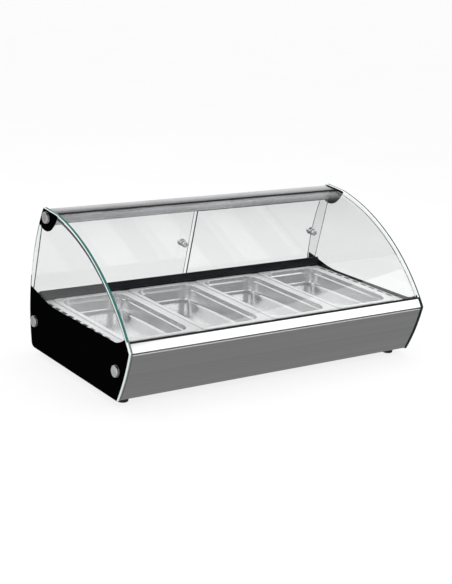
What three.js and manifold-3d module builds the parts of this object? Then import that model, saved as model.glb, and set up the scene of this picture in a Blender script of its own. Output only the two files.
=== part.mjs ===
// Countertop hot food display case: two shaped side glasses carry a curved front glass, a top rail,
// two leaning rear sliding doors and a heated base with four lift-out gastronorm pans.
// Millimetres, +Z up, +Y to the rear (operator side), z = 0 on the counter.

import * as THREE from 'three';
import { mergeVertices } from 'three/addons/utils/BufferGeometryUtils.js';
import Module from 'manifold-3d';

const wasm = await Module();
wasm.setup();

// ---- Driving dimensions -------------------------------------------------------------------------

const GAP = 0.3;                       // clearance between pieces that touch
const INNER_WIDTH = 790;               // between the side glasses
const SIDE_GLASS = 8;
const SPAN = INNER_WIDTH - 1.6;        // length of everything held between the side glasses
const DEPTH_SHIFT = -178.84;           // moves the case so that its box is centred on y = 0

// Side outline, (y, z), with y = 0 at the lower front corner
const FRONT_BOTTOM = [0, 15];
const NOSE = [-42, 131];
const ROOF_FRONT = [281, 346];
const ROOF_REAR = [335, 349.7];
const REAR_TOP = [346.5, 344];
const REAR_BOTTOM = [388.5, 27];
const FLOOR_REAR = [374, 15];
const LOWER_FRONT_RADIUS = 453;
const FRONT_RADIUS = 494.5;
const ROOF_CORNER_RADIUS = 9;
const REAR_RADIUS = 470;
const REAR_CORNER_RADIUS = 14;

const SHEET = 1.5;                     // stainless sheet
const PANEL_INSET = 0.8;               // metal skins sit this far inside the side outline
const FRONT_GLASS = 6;
const FRONT_GLASS_INSET = 4.6;
const FRONT_GLASS_TOP = [302, 341.6];
const CHANNEL_FLOOR = 6.5;             // up from the nose, along the front arc
const TRIM_HEIGHT = 21;

const DECK_TOP = 132;
const DECK_REAR = 398;
const PAN_PITCH = 188;
const PAN_COUNT = 4;
const PAN_HALF_WIDTH = 88;             // gastronorm 1/3: 176 x 325
const PAN_HALF_LENGTH = 162.5;
const PAN_DEPTH = 40;
const PAN_Y = 183.5;
const PAN_RIM = DECK_TOP + 2.9;
const WELL_FLOOR = 52;

const DOOR_TILT = THREE.MathUtils.degToRad(12.5);
const DOOR_GLASS = 5;
const DOOR_WIDTH = 398;
const DOOR_HEIGHT = 185.2;
const DOOR_SIDE_CLEARANCE = 2;
const INNER_DOOR = { y: 360.4, z: 164, drop: -29.5 };
const OUTER_DOOR = { y: 390.8, z: 153, drop: -18.2 };
const KNOB_RISE = { inner: 61.5, outer: 70.5 };
const KNOB_X = { left: -8, right: 367 };

const TRACK_FRONT = 350;
const TRACK_TOP = 155.5;
const TRACK_REAR = 399;
const TRACK_FOOT = 6.5;                // height of the sill's foot above the deck
const GROOVE_FLOOR = 134;
const GROOVE_PLAY = 0.5;               // either side of a door
const INNER_GUIDES = [152.4, 148.4];   // tops of the walls in front of and behind each door
const OUTER_GUIDES = [140.2, 138.2];
const FIXINGS = { front: [3.4, 81.2], rear: [368.2, 80.5], top: [322.7, 331] };
const FIXING_RADIUS = 13;
const FIXING_HEIGHT = 7.5;
const SHANK_RADIUS = 3;
const FIXING_SHANK = 16.5;
const FIXING_STEP = 1;                 // groove and bevel depth on a fixing's head
const NUT_RADIUS = 5.8;
const NUT_HEIGHT = 5;
const SIDES = [['left', -1], ['right', 1]];

const BAR_HALF_WIDTH = 13;             // pan divider bar, its folded edge and the rib along it
const BAR_DEPTH = 8;
const BAR_SHEET = 1.2;
const RIB_HALF_WIDTH = 5;
const RIB_LENGTH = 328;
const RIB_RISE = 1.5;
const OPENING_HALF = [362, 155.5];     // pan opening in the deck
const VENT_SLOTS = { count: 9, pitch: 31.3, start: 66, length: 22, across: [383.5, 391] };

const ELEMENT_Z = 68;
const ELEMENT_RADIUS = 4;
const ELEMENT_BEND = 28;
const ELEMENT_X = 322;
const ELEMENT_Y = [62, 300];
const TERMINAL_X = 24;
const SADDLE_X = 170;
const WELL_HALF = [365, 158.5];
const WELL_FLANGE = 12;

const FEET_X = 370;
const FEET_Y = { front: 32, rear: 354 };
const TRAY_BOTTOM = 15.6;
const TRAY_TOP = TRAY_BOTTOM + SHEET;
const TRAY_LIP = 12;
const TRAY_SLOTS = { count: 7, pitch: 90, halfLength: 25, y: [176, 182] };
const FOOT_SCREW_BORE = 2.7;

// Controls on the rear panel, (x, z)
const REAR_PANEL_Y = 378;
const PANEL_FACE = REAR_PANEL_Y + SHEET;
const PANEL_FOOT = 17;
const PANEL_FLANGE_Y = 362;
const THERMOSTAT = [300, 76];
const SWITCH = [235, 76];
const LAMP = [195, 76];
const GLAND = [-330, 52];
const LOUVRES = { rows: 3, columns: 5, x: -210, z: 64, pitchX: 75, pitchZ: 14, halfLength: 28, height: 5 };
const ROCKER_TILT = THREE.MathUtils.degToRad(8);
const TERMINAL_BLOCK = [-300, 340];
const BULB = { x: 150, y: 300, radius: 3.4, length: 70 };

// ---- Materials ----------------------------------------------------------------------------------

function metal(color, roughness) {
  return new THREE.MeshStandardMaterial({ color, roughness, metalness: 1 });
}

function plain(color, roughness) {
  return new THREE.MeshStandardMaterial({ color, roughness, metalness: 0 });
}

function clear(color) {
  return new THREE.MeshStandardMaterial({ color, roughness: 0.03, transparent: true, opacity: 0.3 });
}

const FINISH = {
  glass: () => clear(0xd9ebe6),
  brushed: () => metal(0xb4b6b8, 0.35),
  polished: () => metal(0xe6e8ea, 0.12),
  pan: () => metal(0xd8dadd, 0.22),
  panel: () => metal(0x8a8b8d, 0.45),
  track: () => metal(0x4a4d53, 0.4),
  chrome: () => metal(0xe8e8ea, 0.06),
  rubber: () => plain(0x161616, 0.8),
  black: () => plain(0x1c1c1e, 0.45),
  element: () => metal(0x5c5a58, 0.5),
  lens: () => plain(0xd9822b, 0.2),
  terminal: () => plain(0xe9e6da, 0.5),
};

// ---- Outline and solid helpers ------------------------------------------------------------------

// Centre of the arc from a to b with its centre on the right-hand side of the way from a to b
function arcCentre(a, b, radius) {
  const chord = Math.hypot(b[0] - a[0], b[1] - a[1]);
  const reach = Math.sqrt(radius * radius - chord * chord / 4);
  const along = [(b[0] - a[0]) / chord, (b[1] - a[1]) / chord];
  return [(a[0] + b[0]) / 2 + along[1] * reach, (a[1] + b[1]) / 2 - along[0] * reach];
}

function arcBetween(a, b, radius, steps) {
  const centre = arcCentre(a, b, radius);
  const start = Math.atan2(a[1] - centre[1], a[0] - centre[0]);
  let sweep = Math.atan2(b[1] - centre[1], b[0] - centre[0]) - start;
  if (sweep > 0) sweep -= 2 * Math.PI;
  const points = [];
  for (let i = 0; i <= steps; i++) {
    const angle = start + sweep * i / steps;
    points.push([centre[0] + radius * Math.cos(angle), centre[1] + radius * Math.sin(angle)]);
  }
  return points;
}

// A point on the front arc: inset inwards from the side outline, run up along it from the nose
const FRONT_CENTRE = arcCentre(NOSE, ROOF_FRONT, FRONT_RADIUS);
const NOSE_ANGLE = Math.atan2(NOSE[1] - FRONT_CENTRE[1], NOSE[0] - FRONT_CENTRE[0]);

function onFrontArc(inset, run) {
  const angle = NOSE_ANGLE - run / FRONT_RADIUS;
  const radius = FRONT_RADIUS - inset;
  return [FRONT_CENTRE[0] + radius * Math.cos(angle), FRONT_CENTRE[1] + radius * Math.sin(angle)];
}

// The convex skin below the nose, moved inwards by inset
function lowerFrontArc(inset, steps) {
  const centre = arcCentre(FRONT_BOTTOM, NOSE, LOWER_FRONT_RADIUS);
  const shrink = (LOWER_FRONT_RADIUS - inset) / LOWER_FRONT_RADIUS;
  const outer = arcBetween(FRONT_BOTTOM, NOSE, LOWER_FRONT_RADIUS, steps);
  return shrunk(outer, centre, shrink);
}

// Points moved towards a centre by one factor
function shrunk(points, centre, factor) {
  return points.map((point) => point.map((value, k) => centre[k] + (value - centre[k]) * factor));
}

// A flat shape; its outline runs anticlockwise and its holes clockwise
function shapeOf(points, holes = []) {
  const outline = points.map(([a, b]) => new THREE.Vector2(a, b));
  if (THREE.ShapeUtils.isClockWise(outline)) outline.reverse();
  const shape = new THREE.Shape(outline);
  for (const { at, radius, sides = 12 } of holes) {
    const hole = new THREE.Path();
    hole.absarc(at[0], at[1], radius, 0, 2 * Math.PI, true);
    shape.holes.push(new THREE.Path(hole.getSpacedPoints(sides).slice(0, sides)));
  }
  return shape;
}

// A (y, z) outline extruded along X, centred on x = 0
function alongX(points, length, holes) {
  const geometry = new THREE.ExtrudeGeometry(shapeOf(points, holes), { depth: length, bevelEnabled: false });
  const turn = new THREE.Matrix4().makeBasis(
    new THREE.Vector3(0, 1, 0),
    new THREE.Vector3(0, 0, 1),
    new THREE.Vector3(1, 0, 0),
  );
  return geometry.applyMatrix4(turn).translate(-length / 2, 0, 0);
}

// An (x, z) outline extruded along Y, from y = 0 towards +Y
function alongY(points, length, holes) {
  const geometry = new THREE.ExtrudeGeometry(shapeOf(points, holes), { depth: length, bevelEnabled: false });
  return geometry.rotateX(Math.PI / 2).translate(0, length, 0);
}

function rectangle(x0, z0, x1, z1) {
  return [[x0, z0], [x1, z0], [x1, z1], [x0, z1]];
}

function block(x0, y0, z0, x1, y1, z1) {
  const geometry = new THREE.BoxGeometry(x1 - x0, y1 - y0, z1 - z0);
  return geometry.translate((x0 + x1) / 2, (y0 + y1) / 2, (z0 + z1) / 2);
}

function turned(profile, sides) {
  return new THREE.LatheGeometry(profile.map(([r, h]) => new THREE.Vector2(r, h)), sides);
}

// Corner points of a rounded rectangle in plan, anticlockwise, all at one height
function roundedLoop({ halfX, halfY, corner, z }, perCorner) {
  const points = [];
  for (const [signX, signY, start] of [[1, 1, 0], [-1, 1, 90], [-1, -1, 180], [1, -1, 270]]) {
    for (let i = 0; i <= perCorner; i++) {
      const angle = THREE.MathUtils.degToRad(start + 90 * i / perCorner);
      const x = signX * (halfX - corner) + corner * Math.cos(angle);
      const y = signY * (halfY - corner) + corner * Math.sin(angle);
      points.push([x, y, z]);
    }
  }
  return points;
}

// A closed solid skinned over a row of loops, with both end loops capped from their middles
function loft(rings, perCorner = 4) {
  const loops = rings.map((ring) => roundedLoop(ring, perCorner));
  const count = loops[0].length;
  const positions = loops.flat(2);
  const last = rings.length - 1;
  positions.push(0, 0, rings[0].z, 0, 0, rings[last].z);
  const firstCap = count * rings.length;
  const index = [];
  for (let i = 0; i < count; i++) {
    const next = (i + 1) % count;
    for (let r = 0; r < last; r++) {
      const a = r * count + i;
      const b = r * count + next;
      index.push(a, b, a + count, b, b + count, a + count);
    }
    index.push(firstCap, next, i);
    index.push(firstCap + 1, last * count + i, last * count + next);
  }
  const geometry = new THREE.BufferGeometry();
  geometry.setAttribute('position', new THREE.Float32BufferAttribute(positions, 3));
  geometry.setIndex(index);
  geometry.computeVertexNormals();
  return geometry;
}

function toSolid(geometry) {
  const bare = geometry.clone();
  bare.deleteAttribute('normal');
  bare.deleteAttribute('uv');
  const merged = mergeVertices(bare);
  const mesh = new wasm.Mesh({
    numProp: 3,
    vertProperties: Float32Array.from(merged.attributes.position.array),
    triVerts: Uint32Array.from(merged.index.array),
  });
  return new wasm.Manifold(mesh);
}

function toGeometry(solid) {
  const mesh = solid.getMesh();
  const geometry = new THREE.BufferGeometry();
  geometry.setAttribute('position', new THREE.BufferAttribute(mesh.vertProperties, 3));
  geometry.setIndex(new THREE.BufferAttribute(mesh.triVerts, 1));
  geometry.computeVertexNormals();
  return geometry;
}

function cut(geometry, tools) {
  return toGeometry(tools.reduce((solid, tool) => solid.subtract(toSolid(tool)), toSolid(geometry)));
}

function join(geometries) {
  return toGeometry(geometries.map(toSolid).reduce((whole, piece) => whole.add(piece)));
}

// A rod through a list of points: one ring at each point, square to the mean direction there
class BentRod extends THREE.Curve {
  constructor(points) {
    super();
    this.points = points.map((point) => new THREE.Vector3(...point));
  }

  getPointAt(u, target = new THREE.Vector3()) {
    return target.copy(this.points[Math.round(u * (this.points.length - 1))]);
  }

  getTangentAt(u, target = new THREE.Vector3()) {
    const i = Math.round(u * (this.points.length - 1));
    const before = this.points[Math.max(i - 1, 0)];
    const after = this.points[Math.min(i + 1, this.points.length - 1)];
    return target.subVectors(after, before).normalize();
  }
}

function rod(points, radius, sides = 8) {
  const section = new THREE.Shape();
  section.absarc(0, 0, radius, 0, 2 * Math.PI, false);
  const polygon = new THREE.Shape(section.getSpacedPoints(sides).slice(0, sides));
  return new THREE.ExtrudeGeometry(polygon, {
    steps: points.length - 1,
    bevelEnabled: false,
    extrudePath: new BentRod(points),
  });
}

// Points of the element's rounded corner, from its way in to its way out, as unit directions from the corner
function bend(corner, from, to, radius) {
  const lead = new THREE.Vector2(...from).multiplyScalar(radius);
  const exit = new THREE.Vector2(...to).multiplyScalar(radius);
  const curve = new THREE.QuadraticBezierCurve(lead, new THREE.Vector2(), exit);
  return curve.getPoints(4).map((point) => [corner[0] + point.x, corner[1] + point.y, ELEMENT_Z]);
}

// ---- Assembly -----------------------------------------------------------------------------------

const displayCase = new THREE.Group();
displayCase.position.y = DEPTH_SHIFT;

function place(name, geometry, material, position = [0, 0, 0], parent = displayCase) {
  const mesh = new THREE.Mesh(geometry, material);
  mesh.name = name;
  mesh.position.set(...position);
  parent.add(mesh);
  return mesh;
}

// Side glasses, with the six visible fixings, their nuts and the steel plates behind them
function buildSides() {
  const outline = [
    ...arcBetween(FRONT_BOTTOM, NOSE, LOWER_FRONT_RADIUS, 8),
    ...arcBetween(NOSE, ROOF_FRONT, FRONT_RADIUS, 32).slice(1),
    ...arcBetween(ROOF_REAR, REAR_TOP, ROOF_CORNER_RADIUS, 4),
    ...arcBetween(REAR_TOP, REAR_BOTTOM, REAR_RADIUS, 20).slice(1),
    ...arcBetween(REAR_BOTTOM, FLOOR_REAR, REAR_CORNER_RADIUS, 4).slice(1),
  ];
  const holes = Object.values(FIXINGS).map((at) => ({ at, radius: SHANK_RADIUS + 1 }));
  const plateTop = DECK_TOP - SHEET - GAP;
  const plate = [
    ...lowerFrontArc(4.5, 8).filter(([, z]) => z > 20 && z < 124),
    [-24, 124],
    [-18, plateTop],
    [REAR_PANEL_Y - GAP, plateTop],
    [REAR_PANEL_Y - GAP, 20],
  ];
  const plateHoles = [FIXINGS.front, FIXINGS.rear].map((at) => ({ at, radius: SHANK_RADIUS + 0.5 }));
  for (const [side, sign] of SIDES) {
    const glassX = sign * (INNER_WIDTH + SIDE_GLASS) / 2;
    const plateX = sign * (INNER_WIDTH / 2 - GAP - SHEET / 2);
    place(`side_glass_${side}`, alongX(outline, SIDE_GLASS, holes), FINISH.glass(), [glassX, 0, 0]);
    place(`end_plate_${side}`, alongX(plate, SHEET, plateHoles), FINISH.brushed(), [plateX, 0, 0]);
    for (const [where, [y, z]] of Object.entries(FIXINGS)) {
      const seat = sign * (INNER_WIDTH / 2 + SIDE_GLASS + GAP);
      const head = place(`fixing_${side}_${where}`, fixing(), FINISH.brushed(), [seat, y, z]);
      head.rotation.z = -sign * Math.PI / 2;
      if (where !== 'top') {
        const nutX = sign * (INNER_WIDTH / 2 - GAP - SHEET - GAP - NUT_HEIGHT / 2);
        place(`fixing_nut_${side}_${where}`, nut(), FINISH.brushed(), [nutX, y, z]);
      }
    }
  }
}

// Two-step disc head with a bevelled face, and its shank; the axis is Y, the face towards +Y
function fixing() {
  const top = FIXING_HEIGHT - GAP;
  return turned([
    [0, -FIXING_SHANK],
    [SHANK_RADIUS, -FIXING_SHANK],
    [SHANK_RADIUS, 0],
    [FIXING_RADIUS, 0],
    [FIXING_RADIUS, 2.6],
    [FIXING_RADIUS - FIXING_STEP, 3],
    [FIXING_RADIUS - FIXING_STEP, 3.6],
    [FIXING_RADIUS, 4],
    [FIXING_RADIUS, top - FIXING_STEP],
    [FIXING_RADIUS - FIXING_STEP, top],
    [0, top],
  ], 24);
}

function nut() {
  const corners = [];
  for (let i = 0; i < 6; i++) {
    const angle = i * Math.PI / 3;
    corners.push([NUT_RADIUS * Math.cos(angle), NUT_RADIUS * Math.sin(angle)]);
  }
  return alongX(corners, NUT_HEIGHT, [{ at: [0, 0], radius: SHANK_RADIUS + GAP }]);
}

// Curved front glass between its bottom channel gasket and the gasket at the top rail
function buildFrontGlass() {
  const bottom = onFrontArc(FRONT_GLASS_INSET, CHANNEL_FLOOR + 3.3);
  const radius = FRONT_RADIUS - FRONT_GLASS_INSET;
  const centre = arcCentre(bottom, FRONT_GLASS_TOP, radius);
  const outer = arcBetween(bottom, FRONT_GLASS_TOP, radius, 36);
  const shrink = (radius - FRONT_GLASS) / radius;
  const inner = shrunk(outer, centre, shrink);
  place('front_glass', alongX([...outer, ...inner.reverse()], SPAN), FINISH.glass());

  const channel = [
    [3.1, 0.3], [3.1, 14.8], [0.9, 14.8], [0.9, 19.5], [4.3, 19.5],
    [4.3, 3], [10.9, 3], [10.9, 13.5], [12.9, 13.5], [12.9, 0.3],
  ];
  const seal = channel.map(([inset, run]) => onFrontArc(inset, CHANNEL_FLOOR + run));
  place('front_glass_gasket', alongX(seal, SPAN), FINISH.rubber());

  // Points in the glass's own polar frame: lift above its outer face, run past its top edge
  const end = Math.atan2(FRONT_GLASS_TOP[1] - centre[1], FRONT_GLASS_TOP[0] - centre[0]);
  const atTop = ([lift, run]) => {
    const angle = end - run / radius;
    return [centre[0] + (radius + lift) * Math.cos(angle), centre[1] + (radius + lift) * Math.sin(angle)];
  };
  const angleBead = [[0.3, -5], [1.4, -5], [1.4, 2.6], [-2, 2.6], [-2, 0.3], [0.3, 0.3]].map(atTop);
  place('top_glass_gasket', alongX(angleBead, SPAN), FINISH.rubber());
}

// Bright trim that holds the glass channel, and the bowed front panel below it
function buildFrontSkins() {
  const trim = [
    [PANEL_INSET, 0.6], [PANEL_INSET, TRIM_HEIGHT], [2.8, TRIM_HEIGHT], [2.8, CHANNEL_FLOOR],
    [13.2, CHANNEL_FLOOR], [13.2, 18], [15.2, 18], [15.2, CHANNEL_FLOOR - 2], [2.8, CHANNEL_FLOOR - 2],
    [2.8, 0.6],
  ].map(([inset, run]) => onFrontArc(inset, run));
  place('front_trim', alongX(trim, SPAN), FINISH.polished());

  const hemTop = 126.8;
  const hemRear = -31;
  const footTop = FRONT_BOTTOM[1] + 2.4;
  const footRear = 20;
  const within = ([, z]) => z > footTop && z < hemTop - SHEET;
  const skin = lowerFrontArc(PANEL_INSET, 12).filter(within);
  const back = lowerFrontArc(PANEL_INSET + SHEET, 12).filter(within).reverse();
  const outline = [
    [1.6, footTop - SHEET],
    ...skin,
    [-40.2, hemTop],
    [hemRear, hemTop],
    [hemRear, hemTop - SHEET],
    [-38.6, hemTop - SHEET],
    ...back,
    [3.2, footTop],
    [footRear, footTop],
    [footRear, footTop - SHEET],
  ];
  place('front_panel', alongX(outline, SPAN), FINISH.panel());
}

// Top rail extrusion: glass seat and front lip, fascia, and a pocket that guides both doors
function buildTopRail() {
  const pocketTop = 318.5;
  const pocketBottom = 309.3;
  const section = [
    [305, 343], [305.3, 338.8], [311, 328.4], [320.4, 328.4], [321.8, 312.6], [323.4, 312.6],
    [323, pocketTop], [358.7, pocketTop], [361, pocketBottom], [362.6, pocketBottom], [360.1, pocketTop],
    [353.5, 329.5], [348.8, 339], [344, 344.8], [339, 346.4],
  ];
  const screwBore = { at: FIXINGS.top, radius: SHANK_RADIUS + 0.4 };
  const lightener = { at: [339.5, 331.5], radius: 8, sides: 14 };
  place('top_rail', alongX(section, SPAN, [screwBore, lightener]), FINISH.brushed());

  const clearance = DOOR_GLASS / 2 / Math.cos(DOOR_TILT) + 0.8;
  const low = 309.8;
  const high = pocketTop - GAP;
  const guide = [
    [doorY(INNER_DOOR, low) + clearance, low],
    [doorY(INNER_DOOR, high) + clearance, high],
    [doorY(OUTER_DOOR, high) - clearance, high],
    [doorY(OUTER_DOOR, low) - clearance, low],
    [349, low], [348, 315.5], [337, 315.5], [337, low],
  ];
  place('door_head_guide', alongX(guide, SPAN), FINISH.black());
}

// Where a door's middle plane stands at height z
function doorY(door, z) {
  return door.y - (z - door.z) * Math.tan(DOOR_TILT);
}

// Two-groove sill that the doors slide in, stepped down towards the rear
function buildSill() {
  const half = DOOR_GLASS / 2 / Math.cos(DOOR_TILT) + GROOVE_PLAY;
  const bottom = DECK_TOP + GAP;
  const foot = DECK_TOP + TRACK_FOOT;
  const groove = (door, [front, rear]) => [
    [doorY(door, front) - half, front],
    [doorY(door, GROOVE_FLOOR) - half, GROOVE_FLOOR],
    [doorY(door, GROOVE_FLOOR) + half, GROOVE_FLOOR],
    [doorY(door, rear) + half, rear],
  ];
  const section = [
    [TRACK_FRONT - 1, bottom],
    [TRACK_FRONT - 1, foot],
    [TRACK_FRONT, foot + 1],
    [TRACK_FRONT, TRACK_TOP],
    [TRACK_FRONT + 1.4, TRACK_TOP],
    ...groove(INNER_DOOR, INNER_GUIDES),
    ...groove(OUTER_DOOR, OUTER_GUIDES),
    [TRACK_REAR, OUTER_GUIDES[1]],
    [TRACK_REAR, bottom],
    [386, bottom], [385, foot], [375, foot], [374, bottom],
  ];
  place('door_sill_track', alongX(section, SPAN), FINISH.track());
}

// A door pane with its knob: ball and stud on the operator side, screwed cap on the food side
function buildDoor(side, door, x0, knobX, knobRise) {
  const frame = new THREE.Group();
  frame.position.set(0, door.y, door.z);
  frame.rotation.x = DOOR_TILT;
  displayCase.add(frame);
  const low = door.drop;
  const pane = rectangle(x0, low, x0 + DOOR_WIDTH, low + DOOR_HEIGHT);
  const studHole = { at: [knobX, knobRise], radius: 3.2 };
  const glass = alongY(pane, DOOR_GLASS, [studHole]);
  place(`door_${side}_glass`, glass, FINISH.glass(), [0, -DOOR_GLASS / 2, 0], frame);

  const face = DOOR_GLASS / 2 + GAP;
  const ballRadius = 10;
  const ballCentre = 13.5;
  const ball = [];
  for (let angle = -60; angle < 90; angle += 25) {
    const radians = THREE.MathUtils.degToRad(angle);
    ball.push([ballRadius * Math.cos(radians), ballCentre + ballRadius * Math.sin(radians)]);
  }
  const knob = turned([
    [0, -7.4], [2.6, -7.4], [2.6, face], [8, face], [8, face + 1.2], ...ball, [0, ballCentre + ballRadius],
  ], 20);
  place(`door_${side}_knob`, knob, FINISH.chrome(), [knobX, 0, knobRise], frame);
  const cap = turned([
    [0, -9.8], [5, -9.3], [7, -7.6], [7, -face], [2.9, -face], [2.9, -7.8], [0, -7.8],
  ], 20);
  place(`door_${side}_knob_cap`, cap, FINISH.chrome(), [knobX, 0, knobRise], frame);
}

// Deck with the pan opening and a row of vent slots along each side glass
function buildDeck() {
  const front = -16;
  const lip = 12;
  const section = [
    [front, DECK_TOP - SHEET], [front, DECK_TOP], [DECK_REAR, DECK_TOP], [DECK_REAR, DECK_TOP - lip],
    [DECK_REAR - SHEET, DECK_TOP - lip], [DECK_REAR - SHEET, DECK_TOP - SHEET],
  ];
  const [openingHalfX, openingHalfY] = OPENING_HALF;
  const opening = loft([
    { halfX: openingHalfX, halfY: openingHalfY, corner: 12, z: DECK_TOP - 10 },
    { halfX: openingHalfX, halfY: openingHalfY, corner: 12, z: DECK_TOP + 10 },
  ]).translate(0, PAN_Y, 0);
  const tools = [opening];
  const { count, pitch, start, length, across } = VENT_SLOTS;
  for (const [, sign] of SIDES) {
    for (let i = 0; i < count; i++) {
      const y = start + i * pitch;
      const x = across.map((value) => value * sign).sort((a, b) => a - b);
      tools.push(block(x[0], y - length / 2, DECK_TOP - 4, x[1], y + length / 2, DECK_TOP + 4));
    }
  }
  place('deck', cut(alongX(section, SPAN), tools), FINISH.brushed());

  const ribTop = DECK_TOP + RIB_RISE;
  const ribY = [PAN_Y - RIB_LENGTH / 2, PAN_Y + RIB_LENGTH / 2];
  const rib = block(-RIB_HALF_WIDTH, ribY[0], DECK_TOP + GAP, RIB_HALF_WIDTH, ribY[1], ribTop);
  const barLow = DECK_TOP - BAR_DEPTH;
  const barInside = BAR_HALF_WIDTH - BAR_SHEET;
  const barUnder = DECK_TOP - BAR_SHEET - 0.2;
  const bar = [
    [-BAR_HALF_WIDTH, barLow], [-barInside, barLow], [-barInside, barUnder], [barInside, barUnder],
    [barInside, barLow], [BAR_HALF_WIDTH, barLow], [BAR_HALF_WIDTH, DECK_TOP], [RIB_HALF_WIDTH, DECK_TOP],
    [RIB_HALF_WIDTH, ribTop], [-RIB_HALF_WIDTH, ribTop], [-RIB_HALF_WIDTH, DECK_TOP],
    [-BAR_HALF_WIDTH, DECK_TOP],
  ];
  const barHalf = openingHalfY - 0.5;
  for (let i = 1; i < PAN_COUNT; i++) {
    const body = alongY(bar, 2 * barHalf).translate(0, PAN_Y - barHalf, 0);
    place(`pan_divider_${i}`, join([body, rib]), FINISH.brushed(), [(i - PAN_COUNT / 2) * PAN_PITCH, 0, 0]);
  }
}

// Gastronorm 1/3 pan: turned-down rim, radiused walls, flat floor; z = 0 at the rim's top
function pan() {
  const wall = 1;
  const bowlX = PAN_HALF_WIDTH - 12;
  const bowlY = PAN_HALF_LENGTH - 12;
  const ring = (x, y, corner, z) => ({ halfX: x, halfY: y, corner, z });
  return loft([
    ring(bowlX - 11, bowlY - 11, 22, -PAN_DEPTH),
    ring(bowlX + wall - 6, bowlY + wall - 6, 27, 3.6 - PAN_DEPTH),
    ring(bowlX + wall - 2.5, bowlY + wall - 2.5, 31, -12.4),
    ring(bowlX + wall - 0.5, bowlY + wall - 0.5, 32, -10.4),
    ring(bowlX + wall + 0.8, bowlY + wall + 0.8, 33, -wall),
    ring(PAN_HALF_WIDTH - wall, PAN_HALF_LENGTH - wall, 11, -wall),
    ring(PAN_HALF_WIDTH - wall, PAN_HALF_LENGTH - wall, 11, -2.6),
    ring(PAN_HALF_WIDTH, PAN_HALF_LENGTH, 12, -2.6),
    ring(PAN_HALF_WIDTH, PAN_HALF_LENGTH, 12, -1.2),
    ring(PAN_HALF_WIDTH - 1.2, PAN_HALF_LENGTH - 1.2, 11, 0),
    ring(bowlX + 1.2, bowlY + 1.2, 33, 0),
    ring(bowlX, bowlY, 32, -1.5),
    ring(bowlX - 0.5, bowlY - 0.5, 31, -10),
    ring(bowlX - 2.5, bowlY - 2.5, 30, -12),
    ring(bowlX - 6, bowlY - 6, 26, 4 - PAN_DEPTH),
    ring(bowlX - 11, bowlY - 11, 22, wall - PAN_DEPTH),
  ]);
}

function buildPans() {
  for (let i = 0; i < PAN_COUNT; i++) {
    const x = (i - (PAN_COUNT - 1) / 2) * PAN_PITCH;
    place(`pan_${i + 1}`, pan(), FINISH.pan(), [x, PAN_Y, PAN_RIM]);
  }
}

// Heated well under the pans, its tubular element and the two saddles that hold it
function buildWell() {
  const flangeTop = DECK_TOP - SHEET - GAP;
  const [wellX, wellY] = WELL_HALF;
  const ring = (grow, z, corner) => ({ halfX: wellX + grow, halfY: wellY + grow, corner, z });
  const tub = loft([
    ring(-9.5, WELL_FLOOR, 12),
    ring(SHEET, WELL_FLOOR + 9.5, 17),
    ring(SHEET, flangeTop - SHEET, 17),
    ring(WELL_FLANGE, flangeTop - SHEET, 10),
    ring(WELL_FLANGE, flangeTop, 10),
    ring(0, flangeTop, 16),
    ring(0, WELL_FLOOR + 10, 16),
    ring(-10, WELL_FLOOR + SHEET, 12),
  ]).translate(0, PAN_Y, 0);
  const wallY = PAN_Y + wellY;
  const ports = [-TERMINAL_X, TERMINAL_X].map((x) => (
    alongY(shapePoints(ELEMENT_RADIUS + 1, 12, x, ELEMENT_Z), 40).translate(0, wallY - 20, 0)
  ));
  place('heating_well', cut(tub, ports), FINISH.brushed());

  const [frontY, rearY] = ELEMENT_Y;
  const end = wallY + 12;
  const route = [
    [-TERMINAL_X, end, ELEMENT_Z],
    ...bend([-TERMINAL_X, rearY], [0, 1], [-1, 0], ELEMENT_BEND / 2),
    ...bend([-ELEMENT_X, rearY], [1, 0], [0, -1], ELEMENT_BEND),
    ...bend([-ELEMENT_X, frontY], [0, 1], [1, 0], ELEMENT_BEND),
    ...bend([ELEMENT_X, frontY], [-1, 0], [0, 1], ELEMENT_BEND),
    ...bend([ELEMENT_X, rearY], [0, -1], [-1, 0], ELEMENT_BEND),
    ...bend([TERMINAL_X, rearY], [1, 0], [0, 1], ELEMENT_BEND / 2),
    [TERMINAL_X, end, ELEMENT_Z],
  ];
  place('heating_element', rod(route, ELEMENT_RADIUS), FINISH.element());

  const saddleLow = WELL_FLOOR + SHEET + GAP;
  const saddleBase = saddleLow + SHEET;
  const saddleTop = ELEMENT_Z - ELEMENT_RADIUS - GAP;
  const saddle = [
    [-14, saddleLow], [14, saddleLow], [14, saddleBase], [1.5, saddleBase], [1.5, saddleTop],
    [-1.5, saddleTop], [-1.5, saddleBase], [-14, saddleBase],
  ];
  for (const [side, sign] of SIDES) {
    place(`element_saddle_${side}`, alongX(saddle, 20), FINISH.brushed(), [sign * SADDLE_X, frontY, 0]);
  }
}

// Outline points of a regular polygon that stands in for a round hole or boss
function shapePoints(radius, sides, x, z) {
  const points = [];
  for (let i = 0; i < sides; i++) {
    const angle = 2 * Math.PI * i / sides;
    points.push([x + radius * Math.cos(angle), z + radius * Math.sin(angle)]);
  }
  return points;
}

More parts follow.
